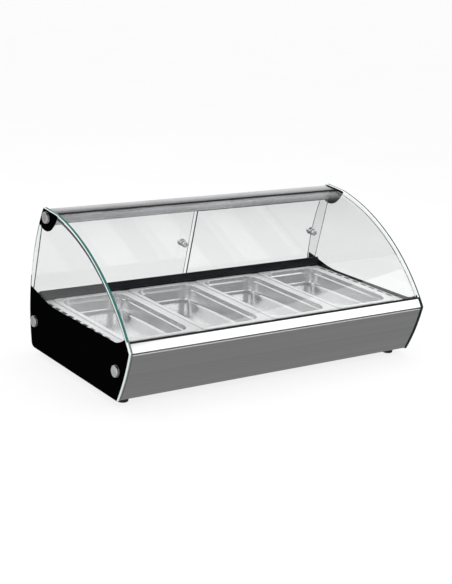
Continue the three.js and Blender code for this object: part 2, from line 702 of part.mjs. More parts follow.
// Floor tray with its feet, and the rear panel with the controls
function buildTray() {
  const front = 21;
  const rear = REAR_PANEL_Y - GAP;
  const lipTop = TRAY_BOTTOM + TRAY_LIP;
  const section = [
    [front, lipTop], [front, TRAY_BOTTOM], [rear, TRAY_BOTTOM], [rear, lipTop],
    [rear - SHEET, lipTop], [rear - SHEET, TRAY_TOP], [front + SHEET, TRAY_TOP], [front + SHEET, lipTop],
  ];
  const tools = [];
  for (const [, sign] of SIDES) {
    for (const y of Object.values(FEET_Y)) {
      const bore = new THREE.CylinderGeometry(FOOT_SCREW_BORE, FOOT_SCREW_BORE, 20, 12).rotateX(Math.PI / 2);
      tools.push(bore.translate(sign * FEET_X, y, TRAY_BOTTOM));
    }
  }
  for (let i = 0; i < TRAY_SLOTS.count; i++) {
    const x = (i - (TRAY_SLOTS.count - 1) / 2) * TRAY_SLOTS.pitch;
    const ends = [x - TRAY_SLOTS.halfLength, x + TRAY_SLOTS.halfLength];
    tools.push(block(ends[0], TRAY_SLOTS.y[0], TRAY_BOTTOM - 5, ends[1], TRAY_SLOTS.y[1], TRAY_BOTTOM + 5));
  }
  place('floor_tray', cut(alongX(section, INNER_WIDTH - 2 * (2 * GAP + SHEET)), tools), FINISH.brushed());

  const footTop = TRAY_BOTTOM - GAP;
  const foot = turned([
    [FOOT_SCREW_BORE, 5], [6.5, 5], [6.5, 0], [11, 0], [12.5, 1.5], [13.5, footTop],
    [FOOT_SCREW_BORE, footTop], [FOOT_SCREW_BORE, 5],
  ], 20).rotateX(Math.PI / 2);
  const screw = turned([
    [0, 1.6], [5.4, 1.6], [5.4, 4.2], [2.3, 4.7], [2.3, 24], [0, 24],
  ], 12).rotateX(Math.PI / 2);
  for (const [side, sign] of SIDES) {
    for (const [end, y] of Object.entries(FEET_Y)) {
      place(`foot_${end}_${side}`, foot.clone(), FINISH.rubber(), [sign * FEET_X, y, 0]);
      place(`foot_screw_${end}_${side}`, screw.clone(), FINISH.brushed(), [sign * FEET_X, y, 0]);
    }
  }
}

function buildRearPanel() {
  const top = DECK_TOP - SHEET - GAP - SHEET - GAP;
  const section = [
    [REAR_PANEL_Y, PANEL_FOOT], [PANEL_FACE, PANEL_FOOT], [PANEL_FACE, top], [PANEL_FLANGE_Y, top],
    [PANEL_FLANGE_Y, top - SHEET], [REAR_PANEL_Y, top - SHEET],
  ];
  const cutFrom = REAR_PANEL_Y - 10;
  const cutTo = REAR_PANEL_Y + 10;
  const through = (radius, [x, z]) => (
    alongY(shapePoints(radius, 16, x, z), cutTo - cutFrom).translate(0, cutFrom, 0)
  );
  const tools = [through(4.5, THERMOSTAT), through(5.3, LAMP), through(8.3, GLAND)];
  const [switchX, switchZ] = SWITCH;
  tools.push(block(switchX - 11.3, cutFrom, switchZ - 14.3, switchX + 11.3, cutTo, switchZ + 14.3));
  for (let row = 0; row < LOUVRES.rows; row++) {
    for (let column = 0; column < LOUVRES.columns; column++) {
      const x = LOUVRES.x + column * LOUVRES.pitchX;
      const z = LOUVRES.z + row * LOUVRES.pitchZ;
      const ends = [x - LOUVRES.halfLength, x + LOUVRES.halfLength];
      tools.push(block(ends[0], cutFrom, z, ends[1], cutTo, z + LOUVRES.height));
    }
  }
  place('rear_panel', cut(alongX(section, INNER_WIDTH - 2 * (2 * GAP + SHEET)), tools), FINISH.brushed());
}

function buildControls() {
  const [knobX, knobZ] = THERMOSTAT;
  const body = cut(
    block(-17, -26, -15, 17, 0, 15),
    [new THREE.CylinderGeometry(3.3, 3.3, 40, 16)],
  );
  place('thermostat_body', body, FINISH.black(), [knobX, REAR_PANEL_Y - GAP, knobZ]);
  const spindle = turned([[0, -20], [3, -20], [3, 12], [0, 12]], 16);
  place('thermostat_spindle', spindle, FINISH.brushed(), [knobX, PANEL_FACE, knobZ]);
  const grip = turned([
    [0, 17], [13, 17], [14.5, 15.5], [15.5, 4.5], [18, 3.5], [18, 1], [3.1, 1], [3.1, 12.4], [0, 12.4],
  ].reverse(), 28);
  const pointer = block(-1.2, 14, 4, 1.2, 17.8, 15);
  place('thermostat_knob', join([grip, pointer]), FINISH.black(), [knobX, PANEL_FACE, knobZ]);

  const [switchX, switchZ] = SWITCH;
  const shell = join([block(-11, -18, -14, 11, 1, 14), block(-13, GAP, -16, 13, 2.6, 16)]);
  const housing = cut(shell, [block(-9.3, -7, -12.8, 9.3, 10, 12.8)]);
  place('switch_housing', housing, FINISH.black(), [switchX, PANEL_FACE, switchZ]);
  const rocker = place('switch_rocker', alongX([
    [-4, 0], [-1.5, -10], [1.5, -12], [4, -11.8], [2.6, 0], [4, 11.8], [1.5, 12], [-1.5, 10],
  ], 18), FINISH.black(), [switchX, PANEL_FACE, switchZ]);
  rocker.rotation.x = -ROCKER_TILT;

  const lamp = turned([
    [0, -14], [4.8, -14], [4.8, GAP], [6.5, GAP], [6.5, 2], [5.5, 4], [3.2, 5.4], [0, 6],
  ], 16);
  place('pilot_lamp', lamp, FINISH.lens(), [LAMP[0], PANEL_FACE, LAMP[1]]);
  const gland = turned([
    [4, -12], [8, -12], [8, GAP], [11, GAP], [11, 5], [9, 7], [9, 14], [7, 16], [4, 16], [4, -12],
  ], 20);
  place('cable_gland', gland, FINISH.black(), [GLAND[0], PANEL_FACE, GLAND[1]]);

  const terminals = [];
  for (let i = 0; i < 3; i++) {
    terminals.push(block(-18 + i * 13, 4, 8, -8 + i * 13, 16, 16));
  }
  const base = block(-24, 0, 0, 24, 20, 9);
  const blockPlace = [...TERMINAL_BLOCK, TRAY_TOP + GAP];
  place('terminal_block', join([base, ...terminals]), FINISH.terminal(), blockPlace);

  const bulbZ = WELL_FLOOR - 4.5;
  const cylinder = new THREE.CylinderGeometry(BULB.radius, BULB.radius, BULB.length, 12);
  const bulb = cylinder.rotateZ(Math.PI / 2).translate(BULB.x, BULB.y, bulbZ);
  const capillary = rod([
    [BULB.x + 30, BULB.y, bulbZ], [BULB.x + 60, BULB.y, bulbZ], [235, 302, 44], [262, 316, 42],
    [283, 334, 46], [293, 344, 54], [296, 347, 62],
  ], 1.2);
  place('thermostat_bulb', join([bulb, capillary]), FINISH.polished());
}

buildSides();
buildFrontGlass();
buildFrontSkins();
buildTopRail();
buildSill();
const DOOR_REACH = INNER_WIDTH / 2 - DOOR_SIDE_CLEARANCE;
buildDoor('left', OUTER_DOOR, -DOOR_REACH, KNOB_X.left, KNOB_RISE.outer);
buildDoor('right', INNER_DOOR, DOOR_REACH - DOOR_WIDTH, KNOB_X.right, KNOB_RISE.inner);
buildDeck();
buildPans();
buildWell();
buildTray();
buildRearPanel();
buildControls();

export default displayCase;
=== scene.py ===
"""Hot food display case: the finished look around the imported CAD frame.

Outlines are in millimetres in the case's own section frame, where y = 0 is the lower front corner and
z = 0 the counter; point() turns them into the row frame in metres. Lamps and the floor are in row metres.
"""

import itertools
import math

import bmesh
import bpy
from mathutils import Matrix, Vector


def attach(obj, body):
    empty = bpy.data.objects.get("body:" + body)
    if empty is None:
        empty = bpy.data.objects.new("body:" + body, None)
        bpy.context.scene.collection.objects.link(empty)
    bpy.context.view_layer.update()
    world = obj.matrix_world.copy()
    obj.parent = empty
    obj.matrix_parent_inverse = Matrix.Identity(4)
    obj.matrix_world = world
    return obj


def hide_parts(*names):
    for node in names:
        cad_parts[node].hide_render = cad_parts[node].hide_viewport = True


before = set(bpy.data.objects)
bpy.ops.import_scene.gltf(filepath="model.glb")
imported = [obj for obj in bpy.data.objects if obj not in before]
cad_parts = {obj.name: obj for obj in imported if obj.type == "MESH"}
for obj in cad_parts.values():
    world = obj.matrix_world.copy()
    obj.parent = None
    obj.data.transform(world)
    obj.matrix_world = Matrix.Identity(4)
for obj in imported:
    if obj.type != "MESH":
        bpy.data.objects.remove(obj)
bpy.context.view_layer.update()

# ---- Driving dimensions (mm) --------------------------------------------------------------------

MM = 0.001
GAP = 0.3
DEPTH_SHIFT = -178.84
INNER_WIDTH = 790.0
SIDE_GLASS = 8.0
SPAN = 788.4
ARRIS = 1.2
# Depth at which a side pane's edge turns from one band of painted shade to the other, set per side
EDGE_BAND = {"left": 3.8, "right": 4.8}
PRINT_BITE = 0.06
PRINT_LIFT = 0.15
PRINT_MARGIN = 1.9
PRINT_TOP = 150.0
REAR_EDGE_Y = 340.0
SIDES = (("left", -1), ("right", 1))

FRONT_BOTTOM = (0.0, 15.0)
NOSE = (-42.0, 131.0)
ROOF_FRONT = (281.0, 346.0)
ROOF_REAR = (335.0, 349.7)
REAR_TOP = (346.5, 344.0)
REAR_BOTTOM = (388.5, 27.0)
FLOOR_REAR = (374.0, 15.0)
LOWER_FRONT_RADIUS = 453.0
FRONT_RADIUS = 494.5
ROOF_CORNER_RADIUS = 9.0
REAR_RADIUS = 470.0
REAR_CORNER_RADIUS = 14.0

SHEET = 1.5
PANEL_INSET = 0.8
FRONT_GLASS = 6.0
FRONT_GLASS_INSET = 4.6
FRONT_GLASS_TOP = (302.0, 341.6)
CHANNEL_FLOOR = 6.5
GLASS_SEAT = 3.3
TRIM_FOOT = 0.6
TRIM_HEIGHT = 21.0
HEM_TOP = 126.8
HEM_REAR = -31.0
PANEL_FOOT = 17.4
PANEL_FOOT_REAR = 20.0

DECK_TOP = 132.0
PAN_PITCH = 188.0
PAN_COUNT = 4
PAN_HALF_WIDTH = 88.0
PAN_HALF_LENGTH = 162.5
PAN_DEPTH = 40.0
PAN_Y = 183.5
PAN_WALL = 1.0
PAN_RIM = DECK_TOP + 2.9
PAINTED_TOP_DROP = 0.6   # how far the painted highlight of a pan rim or of the panel's hem reaches down from its flat top
RIB_HALF_WIDTH = 5.0
RIB_RISE = 1.5
DIVIDER_HALF_WIDTH = 13.0
DIVIDER_HALF_LENGTH = 155.0
DIVIDER_FOOT = 124.0
DIVIDER_SHEET = 1.2

DOOR_TILT = math.radians(12.5)
DOOR_GLASS = 5.0
DOOR_WIDTH = 398.0
DOOR_HEIGHT = 185.2
DOORS = {
    "left": {"y": 390.8, "z": 153.0, "drop": -18.2, "x0": -393.0, "knob": (-8.0, 70.5)},
    "right": {"y": 360.4, "z": 164.0, "drop": -29.5, "x0": -5.0, "knob": (367.0, 61.5)},
}
DOOR_CORNER = 3.0
BALL_RADIUS = 9.75
BALL_HEIGHT = 13.5

TRACK_FRONT = 350.0
TRACK_TOP = 155.5
TRACK_REAR = 399.0
TRACK_FOOT = 6.5
GROOVE_FLOOR = 134.0
GROOVE_PLAY = 0.5
GUIDES = {"right": (152.4, 148.4), "left": (140.2, 138.2)}
FIXINGS = {"front": (3.4, 81.2), "rear": (368.2, 80.5), "top": (322.7, 331.0)}
FIXING_HEIGHT = 7.2
FEET_X = 370.0
FEET_Y = {"front": 32.0, "rear": 354.0}
PANEL_FACE = 379.5
THERMOSTAT = (300.0, 76.0)
LAMP = (195.0, 76.0)
GLAND = (-330.0, 52.0)
DIAL_FLUTE_ANGLE = 15.0
DIAL_FLUTE_DEPTH = 0.7
DIAL_GRIP_RADII = (13.7, 15.3)
DIAL_SWEEP = 270.0
DIAL_TICKS = 10
DIAL_TICK_RADII = (20.5, 24.0)
DIAL_TICK_HALF_WIDTH = 0.4
PANEL_SCREWS_X = (-376.0, -130.0, 130.0, 376.0)
PANEL_SCREWS_Z = (26.0, 120.0)
WELD = 0.02
SOFT_EDGE = 0.3
SOFT_EDGE_ANGLE = 40.0

# Contours of the black print, as (y, z): over the base from rear to front, and round the top fixing
BASE_PRINT = [
    (397.5, 158), (377, 154), (341, 145), (302, 137.6), (260, 136.2), (140, 137.4), (29, 139), (9, 140.6),
    (-9, 148), (-24, 157.5), (-34, 165),
]
TOP_PRINT = [
    (366, 313), (353, 306), (340, 300.7), (328, 299.5), (317.5, 301), (304, 306.7), (291, 318),
    (282.6, 328.4), (277.7, 338), (276, 352),
]

# Painted highlight and painted shade on the ground edges of the side panes, set differently on each side: the
# looks for the inner arris, the edge's two bands and the outer arris, as places in EDGE_LOOKS: "open" is
# where the pans are seen past the edge, and "base" is where the edge ends the print
EDGE_LOOKS = ("glass", "edge", "edge_ground_and_painted_highlight", "edge_painted_shade", "edge_painted_dark_shade")
PAINTED_EDGE_BANDS = {
    ("left", "open"): (1, 1, 1, 2), ("left", "base"): (3, 3, 2, 2),
    ("right", "open"): (2, 2, 4, 4), ("right", "base"): (4, 4, 4, 4),
}
# Plan corner radius of a pan at each inset from its rim's outer edge
PAN_CORNERS = ((0, 12), (1.0, 11.5), (10.8, 33), (12, 32), (14.6, 30), (19, 26), (40, 12))
BOX_FACES = ((0, 1, 3, 2), (4, 6, 7, 5), (0, 4, 5, 1), (2, 3, 7, 6), (0, 2, 6, 4), (1, 5, 7, 3))

# ---- Camera, light and bounces ------------------------------------------------------------------

CAMERA_PLACE = (-1660.1, -2094.4, 973.3)
CAMERA_TURN = (35.899, 16.245, 3.629)   # yaw, pitch and roll in degrees
CAMERA_LENS = 78.22
CAMERA_SENSOR = 36.0
CAMERA_CLIP = (0.05, 60.0)

# Place, target, (width, height) and radiance of each lamp
TOP_SOFTBOX = ((0.1, 0.1, 2.3), (0, 0, 0.1), (3.0, 2.0), 1.6)
LEFT_SOFTBOX = ((-2.3, -1.1, 1.3), (0, 0, 0.2), (1.2, 1.6), 1.2)
TRIM_STRIP = ((1.42, -1.62, 1.5), (0, -0.22, 0.14), (3.0, 0.9), 1.25)

# (low, high, start, end) of a ramp over a direction or a place
WALL_RAMP = (0.34, 1.0, -0.1, 0.5)
CEILING_RAMP = (1.0, 0.07, 0.42, 0.55)
FLOOR_RAMP_X = (2.8, 1.0, -0.62, -0.5)
FLOOR_RAMP_Y = (1.0, 0.35, 0.2, 0.7)
UNDER_GLASS = 1.22
FLOOR_HALF = 30.0
FLOOR_GLOW = 0.82
FLOOR_MIRRORED = 0.32
GLOSSY_BOUNCES = 30
GLASS_BOUNCES = 24
ALL_BOUNCES = 40
GLASS_IOR = 1.5


def point(x, y, z):
    """A section-frame point in millimetres as a row-frame point in metres."""
    return Vector((x * MM, (y + DEPTH_SHIFT) * MM, z * MM))


# ---- Camera and stage ---------------------------------------------------------------------------


def build_camera():
    """The camera stands where the photograph was taken from."""
    yaw, pitch, roll = (math.radians(angle) for angle in CAMERA_TURN)
    level_reach = math.cos(pitch)
    forward = Vector((math.sin(yaw) * level_reach, math.cos(yaw) * level_reach, -math.sin(pitch)))
    level = forward.cross(Vector((0, 0, 1))).normalized()
    above = level.cross(forward)
    right = level * math.cos(roll) + above * math.sin(roll)
    up = above * math.cos(roll) - level * math.sin(roll)
    data = bpy.data.cameras.new("camera")
    data.sensor_width = CAMERA_SENSOR
    data.lens = CAMERA_LENS
    data.clip_start, data.clip_end = CAMERA_CLIP
    camera = bpy.data.objects.new("camera", data)
    turn = Matrix((right, up, -forward)).transposed().to_4x4()
    camera.matrix_world = Matrix.Translation(point(*CAMERA_PLACE)) @ turn
    bpy.context.scene.collection.objects.link(camera)
    bpy.context.scene.camera = camera


def area_light(name, place, target, size, radiance):
    data = bpy.data.lights.new(name, "AREA")
    data.shape = "RECTANGLE"
    data.size, data.size_y = size
    data.energy = radiance * math.pi * size[0] * size[1]
    lamp = bpy.data.objects.new(name, data)
    lamp.location = place
    lamp.rotation_mode = "QUATERNION"
    lamp.rotation_quaternion = (Vector(target) - Vector(place)).to_track_quat("-Z", "Y")
    bpy.context.scene.collection.objects.link(lamp)
    return lamp


def build_world():
    """A white wall behind the case; what is mirrored is dimmer towards the room and overhead.

    The metal under the glass mirrors a bright ceiling, and the glass itself a dark one.
    """
    world = bpy.data.worlds.new("studio")
    bpy.context.scene.world = world
    world.use_nodes = True
    world.cycles.sampling_method = "NONE"
    tree = world.node_tree
    tree.nodes.clear()
    direction = node(tree, "ShaderNodeTexCoord").outputs["Generated"]
    part = node(tree, "ShaderNodeSeparateXYZ", {0: direction}).outputs
    wall = ranged(tree, part["Y"], *WALL_RAMP, interpolation_type="SMOOTHSTEP")
    ceiling = ranged(tree, part["Z"], *CEILING_RAMP, interpolation_type="SMOOTHSTEP")
    overhead = node(tree, "ShaderNodeMix", {"Factor": is_under_glass(tree), "A": ceiling, "B": UNDER_GLASS})
    mirrored = maths(tree, "MULTIPLY", wall, overhead.outputs["Result"])
    level = node(tree, "ShaderNodeMix", {"Factor": is_mirrored(tree), "A": 1.0, "B": mirrored})
    glow = node(tree, "ShaderNodeBackground", {"Color": (1, 1, 1, 1), "Strength": level.outputs["Result"]})
    node(tree, "ShaderNodeOutputWorld", {"Surface": glow.outputs[0]})


def is_mirrored(tree):
    """1 for a ray that metal or glass has thrown back, and 0 for one that only passed through glass."""
    depth = node(tree, "ShaderNodeLightPath").outputs["Glossy Depth"]
    return maths(tree, "GREATER_THAN", depth, 0.5)


def is_under_glass(tree):
    """1 for a ray that went through a whole pane on its way in and another on its way out."""
    depth = node(tree, "ShaderNodeLightPath").outputs["Transmission Depth"]
    return maths(tree, "GREATER_THAN", depth, 2.5)


def build_floor():
    """A pale floor lit evenly enough to run into the wall."""
    signs = ((-1, -1), (1, -1), (1, 1), (-1, 1))
    mesh = bpy.data.meshes.new("floor")
    mesh.from_pydata([(x * FLOOR_HALF, y * FLOOR_HALF, 0) for x, y in signs], [], [(0, 1, 2, 3)])
    floor = bpy.data.objects.new("floor", mesh)
    bpy.context.scene.collection.objects.link(floor)
    material, tree = new_material("floor_paint")
    cloud = noise(tree, (3, 3, 3), detail=2)
    colour = shades(tree, cloud, (0.13, 0.13, 0.13), (0.15, 0.15, 0.15))
    lit = node(tree, "ShaderNodeBsdfPrincipled", {
        "Base Color": colour, "Roughness": 0.8, "Specular IOR Level": 0.1,
        "Emission Color": (1, 1, 1, 1), "Emission Strength": FLOOR_GLOW,
    })
    where = node(tree, "ShaderNodeTexCoord").outputs["Object"]
    place = node(tree, "ShaderNodeSeparateXYZ", {0: where}).outputs
    across = ranged(tree, place["X"], *FLOOR_RAMP_X)
    behind = ranged(tree, place["Y"], *FLOOR_RAMP_Y)
    mirrored = maths(tree, "MULTIPLY", maths(tree, "MULTIPLY", across, behind), FLOOR_MIRRORED)
    dim = node(tree, "ShaderNodeEmission", {"Color": (1, 1, 1, 1), "Strength": mirrored})
    seen = node(tree, "ShaderNodeMixShader", {0: is_mirrored(tree), 1: lit.outputs[0], 2: dim.outputs[0]})
    node(tree, "ShaderNodeOutputMaterial", {"Surface": seen.outputs[0]})
    material.cycles.emission_sampling = "NONE"
    mesh.materials.append(material)


def build_stage():
    build_floor()
    build_world()
    overhead = area_light("top_softbox", *TOP_SOFTBOX)
    overhead.visible_glossy = False
    overhead.visible_transmission = False
    area_light("left_softbox", *LEFT_SOFTBOX)
    area_light("trim_strip", *TRIM_STRIP)
    scene = bpy.context.scene
    scene.view_settings.view_transform = "Standard"
    scene.cycles.glossy_bounces = GLOSSY_BOUNCES
    scene.cycles.transmission_bounces = GLASS_BOUNCES
    scene.cycles.transparent_max_bounces = GLASS_BOUNCES
    scene.cycles.max_bounces = ALL_BOUNCES


# ---- Node helpers -------------------------------------------------------------------------------


def new_material(name):
    material = bpy.data.materials.new(name)
    material.use_nodes = True
    material.node_tree.nodes.clear()
    return material, material.node_tree


def node(tree, kind, inputs=None, **settings):
    made = tree.nodes.new(kind)
    for key, value in settings.items():
        setattr(made, key, value)
    for key, value in (inputs or {}).items():
        socket = socket_of(made, key)
        if isinstance(value, bpy.types.NodeSocket):
            tree.links.new(value, socket)
        else:
            socket.default_value = value
    return made


def socket_of(made, key):
    """The input socket with this name that is in use, since a Mix node has one A for each data type."""
    if isinstance(key, int):
        return made.inputs[key]
    return next(socket for socket in made.inputs if socket.name == key and socket.enabled)


def principled(tree, inputs):
    shader = node(tree, "ShaderNodeBsdfPrincipled", inputs)
    node(tree, "ShaderNodeOutputMaterial", {"Surface": shader.outputs[0]})
    return shader


def noise(tree, scale, detail=3.0, roughness=0.55):
    """Noise over the row frame; scale is its cells in a metre along X, Y and Z."""
    where = node(tree, "ShaderNodeTexCoord").outputs["Object"]
    stretched = node(tree, "ShaderNodeMapping", {"Vector": where, "Scale": scale})
    made = node(tree, "ShaderNodeTexNoise", {
        "Vector": stretched.outputs[0], "Scale": 1.0, "Detail": detail, "Roughness": roughness,
    })
    return made.outputs[0]


def ranged(tree, value, low, high, start=0.3, end=0.7, **settings):
    """The value carried from start...end to low...high, and held there beyond them."""
    return node(tree, "ShaderNodeMapRange", {
        "Value": value, "From Min": start, "From Max": end, "To Min": low, "To Max": high,
    }, **settings).outputs["Result"]


def maths(tree, operation, a, b):
    return node(tree, "ShaderNodeMath", {0: a, 1: b}, operation=operation).outputs[0]


def shades(tree, value, dark, light):
    made = node(tree, "ShaderNodeMix", {
        "Factor": value, "A": (*dark, 1), "B": (*light, 1),
    }, data_type="RGBA")
    return made.outputs[2]


def bump(tree, height, strength, distance):
    made = node(tree, "ShaderNodeBump", {"Height": height, "Strength": strength, "Distance": distance})
    return made.outputs[0]


def scaled(colour, factor):
    return tuple(min(1.0, part * factor) for part in colour)


# ---- Materials ----------------------------------------------------------------------------------


def brushed(name, colour, roughness, grain=(6, 1500, 1500), contrast=0.08):
    """Brushed metal: fine grain across one axis, broad streaks, and faint handling marks."""
    material, tree = new_material(name)
    fine = noise(tree, grain, detail=4)
    broad = noise(tree, tuple(cells / 12 for cells in grain), detail=3)
    marks = noise(tree, (14, 14, 14), detail=5, roughness=0.65)
    streaks = ranged(tree, broad, 0, 1)
    grained = ranged(tree, fine, roughness - 0.05, roughness + 0.06)
    principled(tree, {
        "Base Color": shades(tree, streaks, scaled(colour, 1 - contrast), scaled(colour, 1 + contrast)),
        "Metallic": 1.0,
        "Roughness": maths(tree, "ADD", grained, ranged(tree, marks, -0.03, 0.04)),
        "Normal": bump(tree, fine, 0.25, 0.00006),
    })
    return material


def polished(name, colour, roughness, waviness=0.0, metal=1.0):
    """Polished metal: hairline scratches and soft waves of the pressed sheet."""
    material, tree = new_material(name)
    hairs = noise(tree, (900, 60, 300), detail=5, roughness=0.7)
    wipes = noise(tree, (9, 13, 9), detail=4)
    scratched = ranged(tree, hairs, roughness * 0.8, roughness * 1.25)
    wiped = ranged(tree, wipes, -roughness * 0.2, roughness * 0.25)
    inputs = {
        "Base Color": shades(tree, wipes, scaled(colour, 0.97), scaled(colour, 1.02)),
        "Metallic": metal, "Roughness": maths(tree, "ADD", scratched, wiped),
    }
    if waviness:
        inputs["Normal"] = bump(tree, noise(tree, (22, 22, 22), detail=1), waviness, 0.0006)
    principled(tree, inputs)
    return material


def satin(name, colour, roughness, metal):
    """Fine-blasted or lapped sheet, which spreads the light more evenly than brushed metal does."""
    material, tree = new_material(name)
    fine = noise(tree, (420, 420, 420), detail=4)
    wipes = noise(tree, (11, 17, 11), detail=4)
    principled(tree, {
        "Base Color": shades(tree, wipes, scaled(colour, 0.96), colour), "Metallic": metal,
        "Roughness": ranged(tree, wipes, roughness - 0.03, roughness + 0.04),
        "Normal": bump(tree, fine, 0.08, 0.00005),
    })
    return material


def glass(name, tint, absorbing, density):
    """Clear float glass that lets lamps through, greener along a longer way inside it."""
    material, tree = new_material(name)
    wipes = noise(tree, (7, 9, 7), detail=4, roughness=0.6)
    body = node(tree, "ShaderNodeBsdfPrincipled", {
        "Base Color": (*tint, 1), "Roughness": ranged(tree, wipes, 0.0, 0.012, 0.55, 0.8), "IOR": GLASS_IOR,
        "Transmission Weight": 1.0, "Specular IOR Level": 0.3,
    })
    through = node(tree, "ShaderNodeBsdfTransparent", {"Color": (*scaled(tint, 0.96), 1)})
    is_shadow = node(tree, "ShaderNodeLightPath").outputs["Is Shadow Ray"]
    surface = node(tree, "ShaderNodeMixShader", {0: is_shadow, 1: body.outputs[0], 2: through.outputs[0]})
    green = node(tree, "ShaderNodeVolumeAbsorption", {"Color": (*absorbing, 1), "Density": density})
    node(tree, "ShaderNodeOutputMaterial", {"Surface": surface.outputs[0], "Volume": green.outputs[0]})
    return material


def edge_glass(name, dark, light):
    """The polished edge of green glass: deep colour from outside, and clear from inside the pane."""
    material, tree = new_material(name)
    bands = noise(tree, (25, 25, 25), detail=3)
    outside = node(tree, "ShaderNodeBsdfPrincipled", {
        "Base Color": shades(tree, ranged(tree, bands, 0, 1), dark, light), "Roughness": 0.16,
        "IOR": GLASS_IOR,
    })
    within = node(tree, "ShaderNodeBsdfPrincipled", {
        "Base Color": (0.9, 0.97, 0.95, 1), "Roughness": 0.02, "IOR": GLASS_IOR, "Transmission Weight": 1.0,
    })
    from_inside = node(tree, "ShaderNodeNewGeometry").outputs["Backfacing"]
    mixed = node(tree, "ShaderNodeMixShader", {0: from_inside, 1: outside.outputs[0], 2: within.outputs[0]})
    node(tree, "ShaderNodeOutputMaterial", {"Surface": mixed.outputs[0]})
    return material


def coloured(name, dark, light, roughness, cells=120, grit=0.2, specular=0.5, coat=0.0):
    """Rubber, paint and moulded plastic: a mottled colour over a fine grit."""
    material, tree = new_material(name)
    mottle = noise(tree, (cells,) * 3, detail=4)
    fine = noise(tree, (cells * 14,) * 3, detail=3)
    principled(tree, {
        "Base Color": shades(tree, mottle, dark, light),
        "Roughness": ranged(tree, mottle, roughness - 0.06, roughness + 0.08),
        "Normal": bump(tree, fine, grit, 0.00008),
        "Specular IOR Level": specular, "Coat Weight": coat,
    })
    return material


def build_materials():
    green = (0.1, 0.75, 0.68)
    return {
        # Ground-edge looks for the side panes, placed differently on each side: a pale one, partly the ground
        # finish and partly painted highlight, and a grey and a near-black one that are painted shade.
        "edge_ground_and_painted_highlight": coloured("ground_and_highlight_glass_edge", (0.62, 0.7, 0.69), (0.78, 0.84, 0.83), 0.25, 60, 0.05),
        "edge_painted_shade": coloured("painted_shade_glass_edge", (0.15, 0.16, 0.16), (0.2, 0.21, 0.21), 0.3, 60, 0.05),
        "edge_painted_dark_shade": coloured(
            "painted_dark_shade_glass_edge", (0.006, 0.014, 0.012), (0.012, 0.026, 0.022), 0.4, 60, 0.05, 0.1,
        ),
        # A whiter satin look for the tops of the pan rims: painted highlight on the pans' own steel.
        "pan_rim": satin("satin_painted_rim_highlight", (0.96, 0.96, 0.965), 0.42, 0.3),
        "glass": glass("float_glass", (0.965, 0.972, 0.97), green, 0.6),
        "clear_glass": glass("clear_float_glass", (0.972, 0.976, 0.976), green, 0.3),
        "edge": edge_glass("polished_glass_edge", (0.022, 0.105, 0.09), (0.04, 0.16, 0.14)),
        "print": coloured("black_ceramic_print", (0.0008,) * 3, (0.0016,) * 3, 0.5, 300, 0.05, 0.0),
        "panel": brushed("grey_brushed_panel", (0.55, 0.55, 0.555), 0.34, contrast=0.06),
        "trim": satin("bright_trim", (0.96, 0.96, 0.965), 0.16, 0.6),
        "rail": brushed("rail_anodised", (0.74, 0.74, 0.76), 0.26, contrast=0.05),
        "track": brushed("sill_anodised", (0.032, 0.033, 0.037), 0.3, contrast=0.4),
        "deck": satin("deck_satin", (0.96, 0.96, 0.965), 0.42, 0.3),
        "pan": polished("pan_steel", (0.8, 0.8, 0.805), 0.16, 0.1, 0.84),
        "fixing": brushed("fixing_turned", (0.76, 0.76, 0.77), 0.3, (1500, 60, 60), 0.06),
        "chrome": polished("knob_chrome", (0.86, 0.86, 0.87), 0.05),
        "steel": brushed("plain_steel", (0.55, 0.55, 0.56), 0.32),
        "rubber": coloured("black_rubber", (0.008,) * 3, (0.02,) * 3, 0.75, 200, 0.4, 0.3),
        "plastic": coloured("black_plastic", (0.012, 0.012, 0.013), (0.022, 0.022, 0.024), 0.42, 160, 0.25),
        "mark": coloured("white_marking", (0.7,) * 3, (0.8,) * 3, 0.5, 200, 0.1),
        "lens": coloured("amber_lens", (0.6, 0.2, 0.02), (0.75, 0.3, 0.03), 0.12, 40, 0.0, coat=0.6),
        "terminal": coloured("terminal_plastic", (0.72, 0.7, 0.62), (0.8, 0.78, 0.7), 0.45, 90, 0.2),
        "sheath": brushed("element_sheath", (0.12, 0.11, 0.1), 0.5, (200, 200, 200), 0.2),
    }


# ---- Section outlines ---------------------------------------------------------------------------


def arc_centre(a, b, radius):
    """Centre of the arc from a to b, on the right-hand side of the way from a to b."""
    chord = math.dist(a, b)
    reach = math.sqrt(radius * radius - chord * chord / 4)
    along = ((b[0] - a[0]) / chord, (b[1] - a[1]) / chord)
    return ((a[0] + b[0]) / 2 + along[1] * reach, (a[1] + b[1]) / 2 - along[0] * reach)


def arc(a, b, radius, steps):
    """Points of the clockwise arc from a to b."""
    centre = arc_centre(a, b, radius)
    start = angle_of(a, centre)
    sweep = angle_of(b, centre) - start
    if sweep > 0:
        sweep -= 2 * math.pi
    return [around(centre, radius, start + sweep * i / steps) for i in range(steps + 1)]


def angle_of(at, centre):
    return math.atan2(at[1] - centre[1], at[0] - centre[0])


def around(centre, radius, angle):
    return (centre[0] + radius * math.cos(angle), centre[1] + radius * math.sin(angle))


def on_front(inset, run):
    """A point inset from the front arc of the side outline, run up along it from the nose."""
    centre = arc_centre(NOSE, ROOF_FRONT, FRONT_RADIUS)
    return around(centre, FRONT_RADIUS - inset, angle_of(NOSE, centre) - run / FRONT_RADIUS)


def drawn_in(points, centre, factor):
    """The points moved towards the centre, to this part of their distance from it."""
    return [(centre[0] + (y - centre[0]) * factor, centre[1] + (z - centre[1]) * factor) for y, z in points]


def lower_front(inset, steps):
    """The front arc below the nose, moved inwards."""
    centre = arc_centre(FRONT_BOTTOM, NOSE, LOWER_FRONT_RADIUS)
    outer = arc(FRONT_BOTTOM, NOSE, LOWER_FRONT_RADIUS, steps)
    return drawn_in(outer, centre, (LOWER_FRONT_RADIUS - inset) / LOWER_FRONT_RADIUS)


